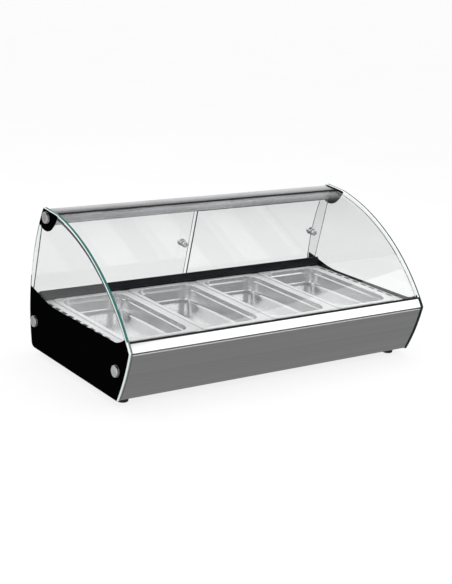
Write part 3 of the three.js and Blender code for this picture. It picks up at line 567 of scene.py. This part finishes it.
def side_outline():
    """The shape of a side glass, clockwise from its lower front corner."""
    return [
        *arc(FRONT_BOTTOM, NOSE, LOWER_FRONT_RADIUS, 24),
        *arc(NOSE, ROOF_FRONT, FRONT_RADIUS, 96)[1:],
        *arc(ROOF_REAR, REAR_TOP, ROOF_CORNER_RADIUS, 8),
        *arc(REAR_TOP, REAR_BOTTOM, REAR_RADIUS, 60)[1:],
        *arc(REAR_BOTTOM, FLOOR_REAR, REAR_CORNER_RADIUS, 8)[1:],
    ]


def inset_loop(points, inset):
    """A clockwise (y, z) outline moved inwards all round."""
    count = len(points)
    moved = []
    for i, (y, z) in enumerate(points):
        before, after = points[i - 1], points[(i + 1) % count]
        way_in = Vector((y - before[0], z - before[1])).normalized()
        way_out = Vector((after[0] - y, after[1] - z)).normalized()
        middle = (way_in + way_out).normalized()
        reach = inset / max(0.4, middle.dot(way_in))
        moved.append((y + middle.y * reach, z - middle.x * reach))
    return moved


def smooth_line(points, steps=6):
    """A Catmull-Rom curve through the points."""
    ends = [points[0], *points, points[-1]]
    made = []
    for a, b, c, d in zip(ends, ends[1:], ends[2:], ends[3:]):
        for i in range(steps):
            t = i / steps
            made.append(tuple(
                0.5 * (2 * q + (r - p) * t + (2 * p - 5 * q + 4 * r - s) * t * t
                       + (3 * q - p - 3 * r + s) * t ** 3)
                for p, q, r, s in zip(a, b, c, d)
            ))
    return [*made, points[-1]]


def rounded(points, radii, steps=5, closed=True):
    """A polyline whose corners are replaced by arcs; radii is one radius or one for each point."""
    count = len(points)
    if not hasattr(radii, "__len__"):
        radii = [radii] * count
    made = []
    for i, corner in enumerate(points):
        at = Vector(corner)
        open_end = not closed and i in (0, count - 1)
        if open_end or radii[i] == 0:
            made.append(tuple(at))
            continue
        to_before = Vector(points[i - 1]) - at
        to_after = Vector(points[(i + 1) % count]) - at
        half = to_before.angle(to_after) / 2
        nearly_straight = half > math.pi / 2 - 0.02
        if nearly_straight:
            made.append(tuple(at))
            continue
        room = 0.49 * min(to_before.length, to_after.length)
        cut = min(radii[i] / math.tan(half), room)
        radius = cut * math.tan(half)
        middle = (to_before.normalized() + to_after.normalized()).normalized()
        centre = at + middle * (radius / math.sin(half))
        first = at + to_before.normalized() * cut - centre
        last = at + to_after.normalized() * cut - centre
        for step in range(steps + 1):
            made.append(tuple(centre + radius * first.slerp(last, step / steps).normalized()))
    return made


# ---- Mesh helpers -------------------------------------------------------------------------------


def piece(name, vertices, faces, material, body="case", nodes=(), slot=None, kinds=None, sharp=30,
          bevel=0.0):
    """A mesh piece from row-frame vertices; material may be a list, with kinds as each face's place in it."""
    mesh = bpy.data.meshes.new(name)
    mesh.from_pydata([tuple(v) for v in vertices], [], faces)
    for each in material if isinstance(material, list) else [material]:
        mesh.materials.append(each)
    if kinds:
        mesh.polygons.foreach_set("material_index", kinds)
    sheet = bmesh.new()
    sheet.from_mesh(mesh)
    bmesh.ops.recalc_face_normals(sheet, faces=sheet.faces)
    sheet.to_mesh(mesh)
    sheet.free()
    made = bpy.data.objects.new(name, mesh)
    bpy.context.scene.collection.objects.link(made)
    mesh.polygons.foreach_set("use_smooth", [True] * len(mesh.polygons))
    mesh.set_sharp_from_angle(angle=math.radians(sharp))
    if bevel:
        edge = made.modifiers.new("rounded_edges", "BEVEL")
        edge.width = bevel * MM
        edge.segments = 2
        edge.limit_method = "ANGLE"
        edge.angle_limit = math.radians(sharp)
        edge.use_clamp_overlap = False
        edge.harden_normals = True
    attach(made, body)
    if nodes:
        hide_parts(*nodes)
    return made


def prism_faces(count):
    """The two ends and then the sides between two loops of this many vertices."""
    sides = [(i, (i + 1) % count, count + (i + 1) % count, count + i) for i in range(count)]
    return [tuple(range(count)), tuple(range(2 * count - 1, count - 1, -1)), *sides]


def extruded(outline, x0, x1):
    """Vertices and faces of a (y, z) outline carried along X."""
    vertices = [point(x, y, z) for x in (x0, x1) for y, z in outline]
    return vertices, prism_faces(len(outline))


def kinds_above(vertices, faces, height):
    """1 for each face that lies wholly above this height, and 0 for the rest."""
    return [int(min(vertices[k].z for k in face) > height * MM) for face in faces]


def spanning(outline):
    """Vertices and faces of a (y, z) outline carried from one side glass to the other."""
    return extruded(outline, -SPAN / 2, SPAN / 2)


def arrised(outline, x0, x1, band):
    """A plate with ground edges: two faces, the inner arris, the edge in two bands for painted shade, the
    outer arris.
    """
    count = len(outline)
    small = inset_loop(outline, ARRIS)
    way = math.copysign(1.0, x1 - x0)
    loops = (
        (x0, small), (x0 + way * ARRIS, outline), (x1 - way * band, outline), (x1 - way * ARRIS, outline),
        (x1, small),
    )
    vertices = [point(x, y, z) for x, loop in loops for y, z in loop]
    rows = [list(range(k * count, (k + 1) * count)) for k in range(len(loops))]
    return vertices, [tuple(rows[0]), tuple(rows[-1]), *skin(zip(rows, rows[1:]), count)]


def turned(profile, place, axis, sides=48):
    """Vertices and faces of an open (radius, height) profile turned about an axis through place.

    Heights run along axis. A profile that doesn't start or end on the axis joins up with itself.
    """
    axis = Vector(axis).normalized()
    across = axis.orthogonal().normalized()
    other = axis.cross(across)
    vertices, rows = [], []
    for radius, height in profile:
        at = place + axis * (height * MM)
        if radius < 1e-6:
            rows.append([len(vertices)] * sides)
            vertices.append(at)
            continue
        rows.append(list(range(len(vertices), len(vertices) + sides)))
        for i in range(sides):
            angle = 2 * math.pi * i / sides
            vertices.append(at + (across * math.cos(angle) + other * math.sin(angle)) * (radius * MM))
    closed = profile[0][0] > 1e-6
    pairs = list(zip(rows, rows[1:]))
    if closed:
        pairs.append((rows[-1], rows[0]))
    return vertices, skin(pairs, sides)


def skin(pairs, count):
    """Faces between pairs of loops of vertex numbers, where a loop may be a single repeated point."""
    faces = []
    for a, b in pairs:
        for i in range(count):
            j = (i + 1) % count
            ring = [a[i], a[j], b[j], b[i]]
            face = [v for k, v in enumerate(ring) if v != ring[k - 1]]
            if len(face) > 2:
                faces.append(tuple(face))
    return faces


def rounded_plan(half_x, half_y, corner, per_corner=10):
    """Corner points of a rounded rectangle in plan, anticlockwise."""
    made = []
    for sign_x, sign_y, start in ((1, 1, 0), (-1, 1, 90), (-1, -1, 180), (1, -1, 270)):
        for i in range(per_corner + 1):
            angle = math.radians(start + 90 * i / per_corner)
            made.append((
                sign_x * (half_x - corner) + corner * math.cos(angle),
                sign_y * (half_y - corner) + corner * math.sin(angle),
            ))
    return made


def lofted(rings, place):
    """Vertices and faces of a solid skinned over (half x, half y, corner, z) rings, capped at both ends."""
    vertices, rows = [], []
    for half_x, half_y, corner, z in rings:
        plan = rounded_plan(half_x, half_y, corner)
        rows.append(list(range(len(vertices), len(vertices) + len(plan))))
        vertices.extend(point(place[0] + x, place[1] + y, place[2] + z) for x, y in plan)
    faces = skin(zip(rows, rows[1:]), len(rows[0]))
    return vertices, [*faces, tuple(rows[0]), tuple(rows[-1])]


def box_mesh(low, high):
    corners = [point(*corner) for corner in itertools.product(*zip(low, high))]
    return corners, list(BOX_FACES)


# ---- Glass ends ---------------------------------------------------------------------------------


def is_below(at, line):
    """Whether a point lies below a line that runs from rear to front, carried on level past its ends."""
    y, z = at
    for (rear_y, rear_z), (front_y, front_z) in zip(line, line[1:]):
        if front_y <= y <= rear_y:
            return z < front_z + (rear_z - front_z) * (y - front_y) / (rear_y - front_y)
    return z < (line[0][1] if y > line[0][0] else line[-1][1])


def print_areas():
    """The two printed areas, each as one closed (y, z) outline a little inside the glass edge."""
    edge = inset_loop(side_outline(), PRINT_MARGIN)
    base_line, top_line = smooth_line(BASE_PRINT), smooth_line(TOP_PRINT)
    base = [at for at in edge if is_below(at, base_line)]
    top = [at for at in edge if at[0] > TOP_PRINT[-2][0] and not is_below(at, top_line)]
    return [
        join_run(base, [at for at in base_line if inside(at, edge)]),
        join_run(top, [at for at in top_line if inside(at, edge)]),
    ]


def inside(at, loop):
    """Whether a level ray from the point crosses the loop an odd number of times."""
    hits = 0
    for (y0, z0), (y1, z1) in zip(loop, loop[1:] + loop[:1]):
        if (z0 > at[1]) != (z1 > at[1]):
            hits += at[0] < y0 + (at[1] - z0) * (y1 - y0) / (z1 - z0)
    return hits % 2 == 1


def rotated(points, start):
    return points[start:] + points[:start]


def join_run(run, line):
    """One outline from an unbroken run of edge points and the contour that closes it."""
    gaps = [math.dist(run[i - 1], run[i]) for i in range(len(run))]
    run = rotated(run, gaps.index(max(gaps)))
    if math.dist(run[-1], line[0]) > math.dist(run[-1], line[-1]):
        line = line[::-1]
    return [*run, *line]


def edge_kinds(outline, side):
    """Each face's place in EDGE_LOOKS for an arrised() plate; edge faces get the painted highlight and shade
    set for their side, band and height.
    """
    face, rear_edge = EDGE_LOOKS.index("glass"), EDGE_LOOKS.index("edge")
    kinds = [face, face]
    for band in range(4):
        for y, z in outline:
            zone = "base" if z < PRINT_TOP else "open"
            kinds.append(PAINTED_EDGE_BANDS[side, zone][band] if y < REAR_EDGE_Y else rear_edge)
    return kinds


def build_glass_ends(looks):
    outline = side_outline()
    areas = print_areas()
    for side, sign in SIDES:
        inner = sign * INNER_WIDTH / 2
        outer = sign * (INNER_WIDTH / 2 + SIDE_GLASS)
        # The edge faces carry painted highlight and shade chosen for each side.
        shape = arrised(outline, inner, outer, EDGE_BAND[side])
        piece(f"end_pane_{side}", *shape, [looks[key] for key in EDGE_LOOKS],
              nodes=[f"side_glass_{side}"], slot="clear_glass", kinds=edge_kinds(outline, side))
        for name, area in zip(("base", "top"), areas):
            shape = extruded(area, outer - sign * PRINT_BITE, outer + sign * PRINT_LIFT)
            piece(f"{name}_print_{side}", *shape, looks["print"])
        for where, (y, z) in FIXINGS.items():
            seat = point(outer + sign * GAP, y, z)
            build_fixing(f"{where}_disc_{side}", seat, sign, looks, [f"fixing_{side}_{where}"])


def build_fixing(name, seat, sign, looks, nodes):
    """Two-step turned disc with a bevelled rim and a faint dished face, on its shank."""
    top = FIXING_HEIGHT
    profile = [
        (0, -16.5), (3, -16.5), (3, 0), (12.7, 0), (13, 0.3), (13, 2.5), (12.7, 2.8), (12, 3), (12, 3.6),
        (12.7, 3.8), (13, 4.1), (13, top - 1.3), (12.8, top - 0.8), (12.3, top - 0.25), (11.6, top),
        (10.8, top), (10.4, top - 0.25), (4, top - 0.2), (0, top - 0.18),
    ]
    shape = turned(profile, seat, (sign, 0, 0), 64)
    piece(name, *shape, looks["fixing"], nodes=nodes, slot="fixing_aluminium", sharp=28)


# ---- Front --------------------------------------------------------------------------------------


def build_front_glass(looks):
    """The curved pane, the channel seal at its foot and the bead along its top edge."""
    bottom = on_front(FRONT_GLASS_INSET, CHANNEL_FLOOR + GLASS_SEAT)
    radius = FRONT_RADIUS - FRONT_GLASS_INSET
    centre = arc_centre(bottom, FRONT_GLASS_TOP, radius)
    outer = arc(bottom, FRONT_GLASS_TOP, radius, 110)
    inner = drawn_in(outer, centre, (radius - FRONT_GLASS) / radius)
    piece("curved_pane", *spanning([*outer, *inner[::-1]]), looks["clear_glass"],
          nodes=["front_glass"], slot="clear_glass", bevel=0.5)

    channel = [
        (3.1, 0.3), (3.1, 14.8), (0.9, 14.8), (0.9, 19.5), (4.3, 19.5), (4.3, 3), (10.9, 3), (10.9, 13.5),
        (12.9, 13.5), (12.9, 0.3),
    ]
    seal = [on_front(inset, CHANNEL_FLOOR + run) for inset, run in channel]
    piece("channel_seal", *spanning(seal), looks["rubber"], nodes=["front_glass_gasket"],
          slot="black_rubber", bevel=0.25)

    # (height over the pane, run past its top edge) of the bead's corners
    corners = ((GAP, -5), (1.4, -5), (1.4, 2.6), (-2, 2.6), (-2, GAP), (GAP, GAP))
    end = angle_of(FRONT_GLASS_TOP, centre)
    bead = [around(centre, radius + lift, end - run / radius) for lift, run in corners]
    piece("roof_bead", *spanning(bead), looks["rubber"], nodes=["top_glass_gasket"],
          slot="black_rubber", bevel=0.2)


def build_trim(looks):
    """The bright trim: a curved face over a ledge, with the pocket that holds the channel seal."""
    face_run, steps = TRIM_HEIGHT - TRIM_FOOT, 8
    outer = [(PANEL_INSET, TRIM_FOOT + face_run * i / steps) for i in range(steps + 1)]
    inner = [
        (2.8, TRIM_HEIGHT), (2.8, CHANNEL_FLOOR), (13.2, CHANNEL_FLOOR), (13.2, 18), (15.2, 18),
        (15.2, CHANNEL_FLOOR - 2), (2.8, CHANNEL_FLOOR - 2), (2.8, TRIM_FOOT),
    ]
    trim = [on_front(inset, run) for inset, run in [*outer, *inner]]
    piece("bright_trim", *spanning(trim), looks["trim"], nodes=["front_trim"], slot="polished_steel",
          bevel=0.35)


def build_front_panel(looks):
    """The bowed grey sheet, folded in at its foot and at its hem along the top, which carries a painted
    highlight in the bright trim finish.
    """
    hem_foot = HEM_TOP - SHEET
    face = [at for at in lower_front(PANEL_INSET, 60) if PANEL_FOOT + 1 < at[1] < hem_foot]
    back = [at for at in lower_front(PANEL_INSET + SHEET, 60) if PANEL_FOOT < at[1] < hem_foot]
    outline = [
        (1.6, PANEL_FOOT - SHEET), *face, (-40.2, HEM_TOP), (HEM_REAR, HEM_TOP), (HEM_REAR, hem_foot),
        (-38.6, hem_foot), *back[::-1], (3.2, PANEL_FOOT), (PANEL_FOOT_REAR, PANEL_FOOT),
        (PANEL_FOOT_REAR, PANEL_FOOT - SHEET),
    ]
    vertices, faces = spanning(outline)
    # The hem takes the bright trim look while the rest of the sheet is grey brushed steel: painted highlight.
    kinds = kinds_above(vertices, faces, hem_foot - PAINTED_TOP_DROP)
    piece("bowed_panel", vertices, faces, [looks["panel"], looks["trim"]], nodes=["front_panel"],
          slot="panel_steel", kinds=kinds, bevel=0.5)


# ---- Top rail and sill --------------------------------------------------------------------------


def build_rail(looks):
    """The top rail: a roof over the pocket for the doors, a front lip and a fascia."""
    section = [
        (305, 343), (305.3, 338.8), (311, 328.4), (320.4, 328.4), (321.8, 312.6), (323.4, 312.6),
        (323, 318.5), (358.7, 318.5), (361, 309.3), (362.6, 309.3), (360.1, 318.5), (353.5, 329.5),
        (348.8, 339), (344, 344.8), (339, 346.4),
    ]
    piece("roof_rail", *spanning(rounded(section, 0.7, 3)), looks["rail"], nodes=["top_rail"],
          slot="rail_aluminium")


def door_y(door, z):
    """Where the middle of a door's glass is at this height."""
    return door["y"] - (z - door["z"]) * math.tan(DOOR_TILT)


def groove(side):
    """A leaning groove of the sill, from the top of its front guide to the top of its rear one."""
    half_width = DOOR_GLASS / 2 / math.cos(DOOR_TILT) + GROOVE_PLAY
    front, rear = GUIDES[side]
    corners = ((-1, front), (-1, GROOVE_FLOOR), (1, GROOVE_FLOOR), (1, rear))
    return [(door_y(DOORS[side], z) + way * half_width, z) for way, z in corners]


def build_sill(looks):
    """The sill profile: a front lip, and the two grooves stepping down behind it."""
    bottom = DECK_TOP + GAP
    foot = DECK_TOP + TRACK_FOOT
    section = [
        (TRACK_FRONT - 1, bottom), (TRACK_FRONT - 1, foot), (TRACK_FRONT, foot + 1),
        (TRACK_FRONT, TRACK_TOP), (TRACK_FRONT + 1.4, TRACK_TOP), *groove("right"), *groove("left"),
        (TRACK_REAR, GUIDES["left"][1]), (TRACK_REAR, bottom), (386, bottom), (385, foot), (375, foot),
        (374, bottom),
    ]
    piece("sill_profile", *spanning(rounded(section, 0.4, 2)), looks["track"],
          nodes=["door_sill_track"], slot="sill_aluminium")


# ---- Doors --------------------------------------------------------------------------------------


def build_door(side, looks):
    """A sliding pane and its knob; x, rise and depth run along, up and out of the leaning glass."""
    door = DOORS[side]
    body = f"{side}_door"
    up = Vector((0, -math.sin(DOOR_TILT), math.cos(DOOR_TILT)))
    out = Vector((0, math.cos(DOOR_TILT), math.sin(DOOR_TILT)))
    origin = point(0, door["y"], door["z"])

    def at(x, rise, depth):
        return origin + Vector((x * MM, 0, 0)) + up * (rise * MM) + out * (depth * MM)

    left, foot = door["x0"], door["drop"]
    right, head = left + DOOR_WIDTH, foot + DOOR_HEIGHT
    plan = rounded([(left, foot), (right, foot), (right, head), (left, head)], DOOR_CORNER, 6)
    vertices = [at(x, rise, depth) for depth in (-DOOR_GLASS / 2, DOOR_GLASS / 2) for x, rise in plan]
    piece(f"sliding_pane_{side}", vertices, prism_faces(len(plan)), looks["clear_glass"], body,
          [f"door_{side}_glass"], "clear_glass", bevel=0.5)
    build_knob(side, at(*door["knob"], 0), out, looks, body)


def build_knob(side, seat, out, looks, body):
    """A ball on the operator side and a screwed cap on the food side; heights are from the pane's middle."""
    face = DOOR_GLASS / 2 + GAP
    steps = [math.radians(degrees) for degrees in range(-63, 90, 9)]
    ball = [around((0, BALL_HEIGHT), BALL_RADIUS, angle) for angle in steps]
    grip = [
        (0, -7.4), (2.6, -7.4), (2.6, face), (7.6, face), (8, face + 0.4), (8, face + 1), (7.2, face + 1.4),
        (5.6, face + 1.5), *ball, (0, BALL_HEIGHT + BALL_RADIUS),
    ]
    piece(f"door_ball_{side}", *turned(grip, seat, out), looks["chrome"], body,
          [f"door_{side}_knob"], "knob_chrome", sharp=40)
    cap = [
        (0, -9.8), (3, -9.7), (5.2, -9.2), (6.5, -8.3), (7, -7.2), (7, -face - 0.3), (6.7, -face),
        (2.9, -face), (2.9, -7.8), (0, -7.8),
    ]
    piece(f"door_cap_{side}", *turned(cap, seat, out), looks["chrome"], body,
          [f"door_{side}_knob_cap"], "knob_chrome", sharp=40)


# ---- Deck and pans ------------------------------------------------------------------------------


def build_dividers(looks):
    """Channel-section bars between the pans, each with a low rib along its top."""
    wide, rib, foot = DIVIDER_HALF_WIDTH, RIB_HALF_WIDTH, DIVIDER_FOOT
    within, under = wide - DIVIDER_SHEET, 130.6
    half = [
        (wide, foot), (wide, DECK_TOP), (rib, DECK_TOP), (rib, DECK_TOP + RIB_RISE),
    ]
    bar = [
        (-wide, foot), (-within, foot), (-within, under), (within, under), (within, foot), *half,
        *[(-x, z) for x, z in half[:0:-1]],
    ]
    bar = rounded(bar, 0.4, 2)
    ends = (PAN_Y - DIVIDER_HALF_LENGTH, PAN_Y + DIVIDER_HALF_LENGTH)
    for i in range(1, PAN_COUNT):
        middle = (i - PAN_COUNT / 2) * PAN_PITCH
        vertices = [point(middle + x, y, z) for y in ends for x, z in bar]
        piece(f"divider_bar_{i}", vertices, prism_faces(len(bar)), looks["deck"],
              nodes=[f"pan_divider_{i}"], slot="brushed_steel")


def pan_rings():
    """Rings of a gastronorm pan from the outside of its floor, over the rim, to the inside of its floor."""
    wall, depth = PAN_WALL, PAN_DEPTH
    # (inset from the rim's outer edge, height over the rim), with the radius of each bend in the section
    inner = rounded([
        (1.0, 0), (11.6, 0), (12.6, -10.0), (14.6, -12.6), (18.2, wall - depth), (40, wall - depth),
    ], [0, 2.2, 1.5, 1.5, 8.0, 0], 6, closed=False)
    outer = rounded([
        (1.0, -wall), (10.6, -wall), (11.5, -10.6), (13.5, -13.2), (17.4, -depth), (40, -depth),
    ], [0, 1.6, 1.5, 1.5, 8.6, 0], 6, closed=False)
    rim = [(1.0, -wall), (1.0, -2.6), (0, -2.6), (0, -1.1), (0.15, -0.5), (0.5, -0.12), (1.0, 0)]
    return [*outer[::-1], *rim[1:-1], *inner]


def pan_corner(inset):
    """The plan corner radius of a pan where it is this far in from the rim's outer edge."""
    for (a, corner_a), (b, corner_b) in zip(PAN_CORNERS, PAN_CORNERS[1:]):
        if inset <= b:
            return corner_a + (corner_b - corner_a) * (inset - a) / (b - a)
    return PAN_CORNERS[-1][1]


def build_pans(looks):
    """Four gastronorm 1/3 pans with polished bowls; each rim's top takes a whiter satin finish as painted
    highlight.
    """
    rings = [
        (PAN_HALF_WIDTH - inset, PAN_HALF_LENGTH - inset, pan_corner(inset), z) for inset, z in pan_rings()
    ]
    for i in range(PAN_COUNT):
        x = (i - (PAN_COUNT - 1) / 2) * PAN_PITCH
        vertices, faces = lofted(rings, (x, PAN_Y, PAN_RIM))
        # Faces at the top of the rim take the whiter satin look: painted highlight on the pan's own steel.
        kinds = kinds_above(vertices, faces, PAN_RIM - PAINTED_TOP_DROP)
        piece(f"gastronorm_pan_{i + 1}", vertices, faces, [looks["pan"], looks["pan_rim"]],
              f"lift_pan_{i + 1}", [f"pan_{i + 1}"], "pan_steel", kinds=kinds, sharp=50)


# ---- Base, feet and controls --------------------------------------------------------------------


def build_feet(looks):
    profile = [
        (2.7, 5), (6.5, 5), (6.5, 0.4), (6.9, 0), (10.6, 0), (11.6, 0.4), (12.4, 1.4), (12.7, 3),
        (13.4, 14.6), (13.1, 15.2), (12.6, 15.3), (2.7, 15.3),
    ]
    for side, sign in SIDES:
        for end, y in FEET_Y.items():
            shape = turned(profile, point(sign * FEET_X, y, 0), (0, 0, 1), 40)
            piece(f"rubber_foot_{end}_{side}", *shape, looks["rubber"], nodes=[f"foot_{end}_{side}"],
                  slot="black_rubber")


def build_dial(looks):
    """The thermostat's fluted knob and the pointer on it."""
    x, z = THERMOSTAT
    seat = point(x, PANEL_FACE, z)
    profile = [
        (3.1, 12.4), (3.1, 1), (17.6, 1), (18, 1.4), (18, 3.2), (17.6, 3.6), (15.8, 4.4), (15.2, 5.6),
        (14.4, 14.9), (13.8, 16.1), (12.6, 16.6), (11.2, 17), (4, 16.7), (0, 16.6), (0, 12.4),
    ]
    vertices, faces = turned(profile, seat, (0, 1, 0), 96)
    inner, outer = DIAL_GRIP_RADII
    for vertex in vertices:
        out = Vector((vertex.x - seat.x, 0, vertex.z - seat.z))
        turn = math.degrees(math.atan2(out.z, out.x)) % DIAL_FLUTE_ANGLE
        if turn > DIAL_FLUTE_ANGLE / 2 and inner * MM < out.length < outer * MM:
            vertex -= out.normalized() * (DIAL_FLUTE_DEPTH * MM)
    piece("dial_grip", vertices, faces, looks["plastic"], "thermostat_dial", ["thermostat_knob"],
          "black_plastic", sharp=40)
    pointer = box_mesh((x - 0.8, PANEL_FACE + 5, z + 9), (x + 0.8, PANEL_FACE + 17.15, z + 14.4))
    piece("dial_pointer", *pointer, looks["mark"], "thermostat_dial", bevel=0.2)


def build_dial_scale(looks):
    """The ticks on the rear panel round the dial, let into the sheet."""
    x, z = THERMOSTAT
    seat = point(x, PANEL_FACE, z)
    vertices, faces = [], []
    for i in range(DIAL_TICKS):
        angle = math.radians(90 - DIAL_SWEEP * i / (DIAL_TICKS - 1))
        along = Vector((math.cos(angle), 0, math.sin(angle)))
        across = Vector((-along.z, 0, along.x)) * (DIAL_TICK_HALF_WIDTH * MM)
        first = len(vertices)
        for radius in DIAL_TICK_RADII:
            for lift in (-0.1, 0.12):
                middle = seat + along * (radius * MM) + Vector((0, lift * MM, 0))
                vertices.extend((middle - across, middle + across))
        faces.extend(tuple(first + k for k in face) for face in BOX_FACES)
    piece("dial_scale", vertices, faces, looks["mark"])


def build_panel_screws(looks):
    """Domed heads that hold the rear panel to the end plates and the floor tray."""
    head = [(0, -0.2), (3.6, -0.2), (3.6, 0.4), (3.2, 1.2), (2.2, 1.8), (1.2, 2.0), (1.1, 1.2), (0, 1.2)]
    vertices, faces = [], []
    for x in PANEL_SCREWS_X:
        for z in PANEL_SCREWS_Z:
            screw, screw_faces = on_panel(head, (x, z), 24)
            faces.extend(tuple(len(vertices) + k for k in face) for face in screw_faces)
            vertices.extend(screw)
    piece("panel_screws", vertices, faces, looks["fixing"])


def on_panel(profile, place, sides=40):
    """A (radius, height) profile turned about an axis that stands out of the rear panel at (x, z)."""
    x, z = place
    return turned(profile, point(x, PANEL_FACE, z), (0, 1, 0), sides)


def build_lamp(looks):
    lens = [
        (0, -14), (4.8, -14), (4.8, GAP), (6.2, GAP), (6.5, 0.6), (6.5, 1.9), (6.1, 3), (5.3, 4.2),
        (4.2, 5.1), (2.6, 5.8), (0, 6),
    ]
    piece("lamp_lens", *on_panel(lens, LAMP), looks["lens"], nodes=["pilot_lamp"], slot="amber_lens")


def build_gland(looks):
    gland = [
        (4, -12), (8, -12), (8, GAP), (10.6, GAP), (11, 0.7), (11, 4.6), (10.6, 5), (9.2, 6.4), (9, 7),
        (9, 13.6), (8.4, 14.8), (7.2, 15.8), (6.6, 16), (4.4, 16), (4, 15.6),
    ]
    piece("inlet_gland", *on_panel(gland, GLAND), looks["plastic"], nodes=["cable_gland"],
          slot="black_plastic")


ENDS = [f"{end}_{side}" for end in FEET_Y for side, _ in SIDES]
CAD_LOOKS = {
    "steel": [
        *[f"{name}_{side}" for name in ("end_plate", "element_saddle") for side, _ in SIDES],
        *[f"fixing_nut_{side}_{end}" for end in FEET_Y for side, _ in SIDES],
        *[f"foot_screw_{end}" for end in ENDS],
        "heating_well", "floor_tray", "rear_panel", "thermostat_spindle",
    ],
    "deck": ["deck"],
    "plastic": ["door_head_guide", "thermostat_body", "switch_housing", "switch_rocker"],
    "terminal": ["terminal_block"],
    "chrome": ["thermostat_bulb"],
    "sheath": ["heating_element"],
}


def dress_cad_nodes(looks):
    """The CAD nodes that show as they are get their finish and softened edges."""
    for look, names in CAD_LOOKS.items():
        for name in names:
            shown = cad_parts[name]
            shown.data.materials.clear()
            shown.data.materials.append(looks[look])
            weld = shown.modifiers.new("weld", "WELD")
            weld.merge_threshold = WELD * MM
            edge = shown.modifiers.new("softened_edges", "BEVEL")
            edge.width = SOFT_EDGE * MM
            edge.segments = 2
            edge.limit_method = "ANGLE"
            edge.angle_limit = math.radians(SOFT_EDGE_ANGLE)


build_camera()
build_stage()
LOOKS = build_materials()
build_glass_ends(LOOKS)
build_front_glass(LOOKS)
build_trim(LOOKS)
build_front_panel(LOOKS)
build_rail(LOOKS)
build_sill(LOOKS)
for door_side in DOORS:
    build_door(door_side, LOOKS)
build_dividers(LOOKS)
build_pans(LOOKS)
build_feet(LOOKS)
build_dial(LOOKS)
build_dial_scale(LOOKS)
build_lamp(LOOKS)
build_gland(LOOKS)
build_panel_screws(LOOKS)
dress_cad_nodes(LOOKS)
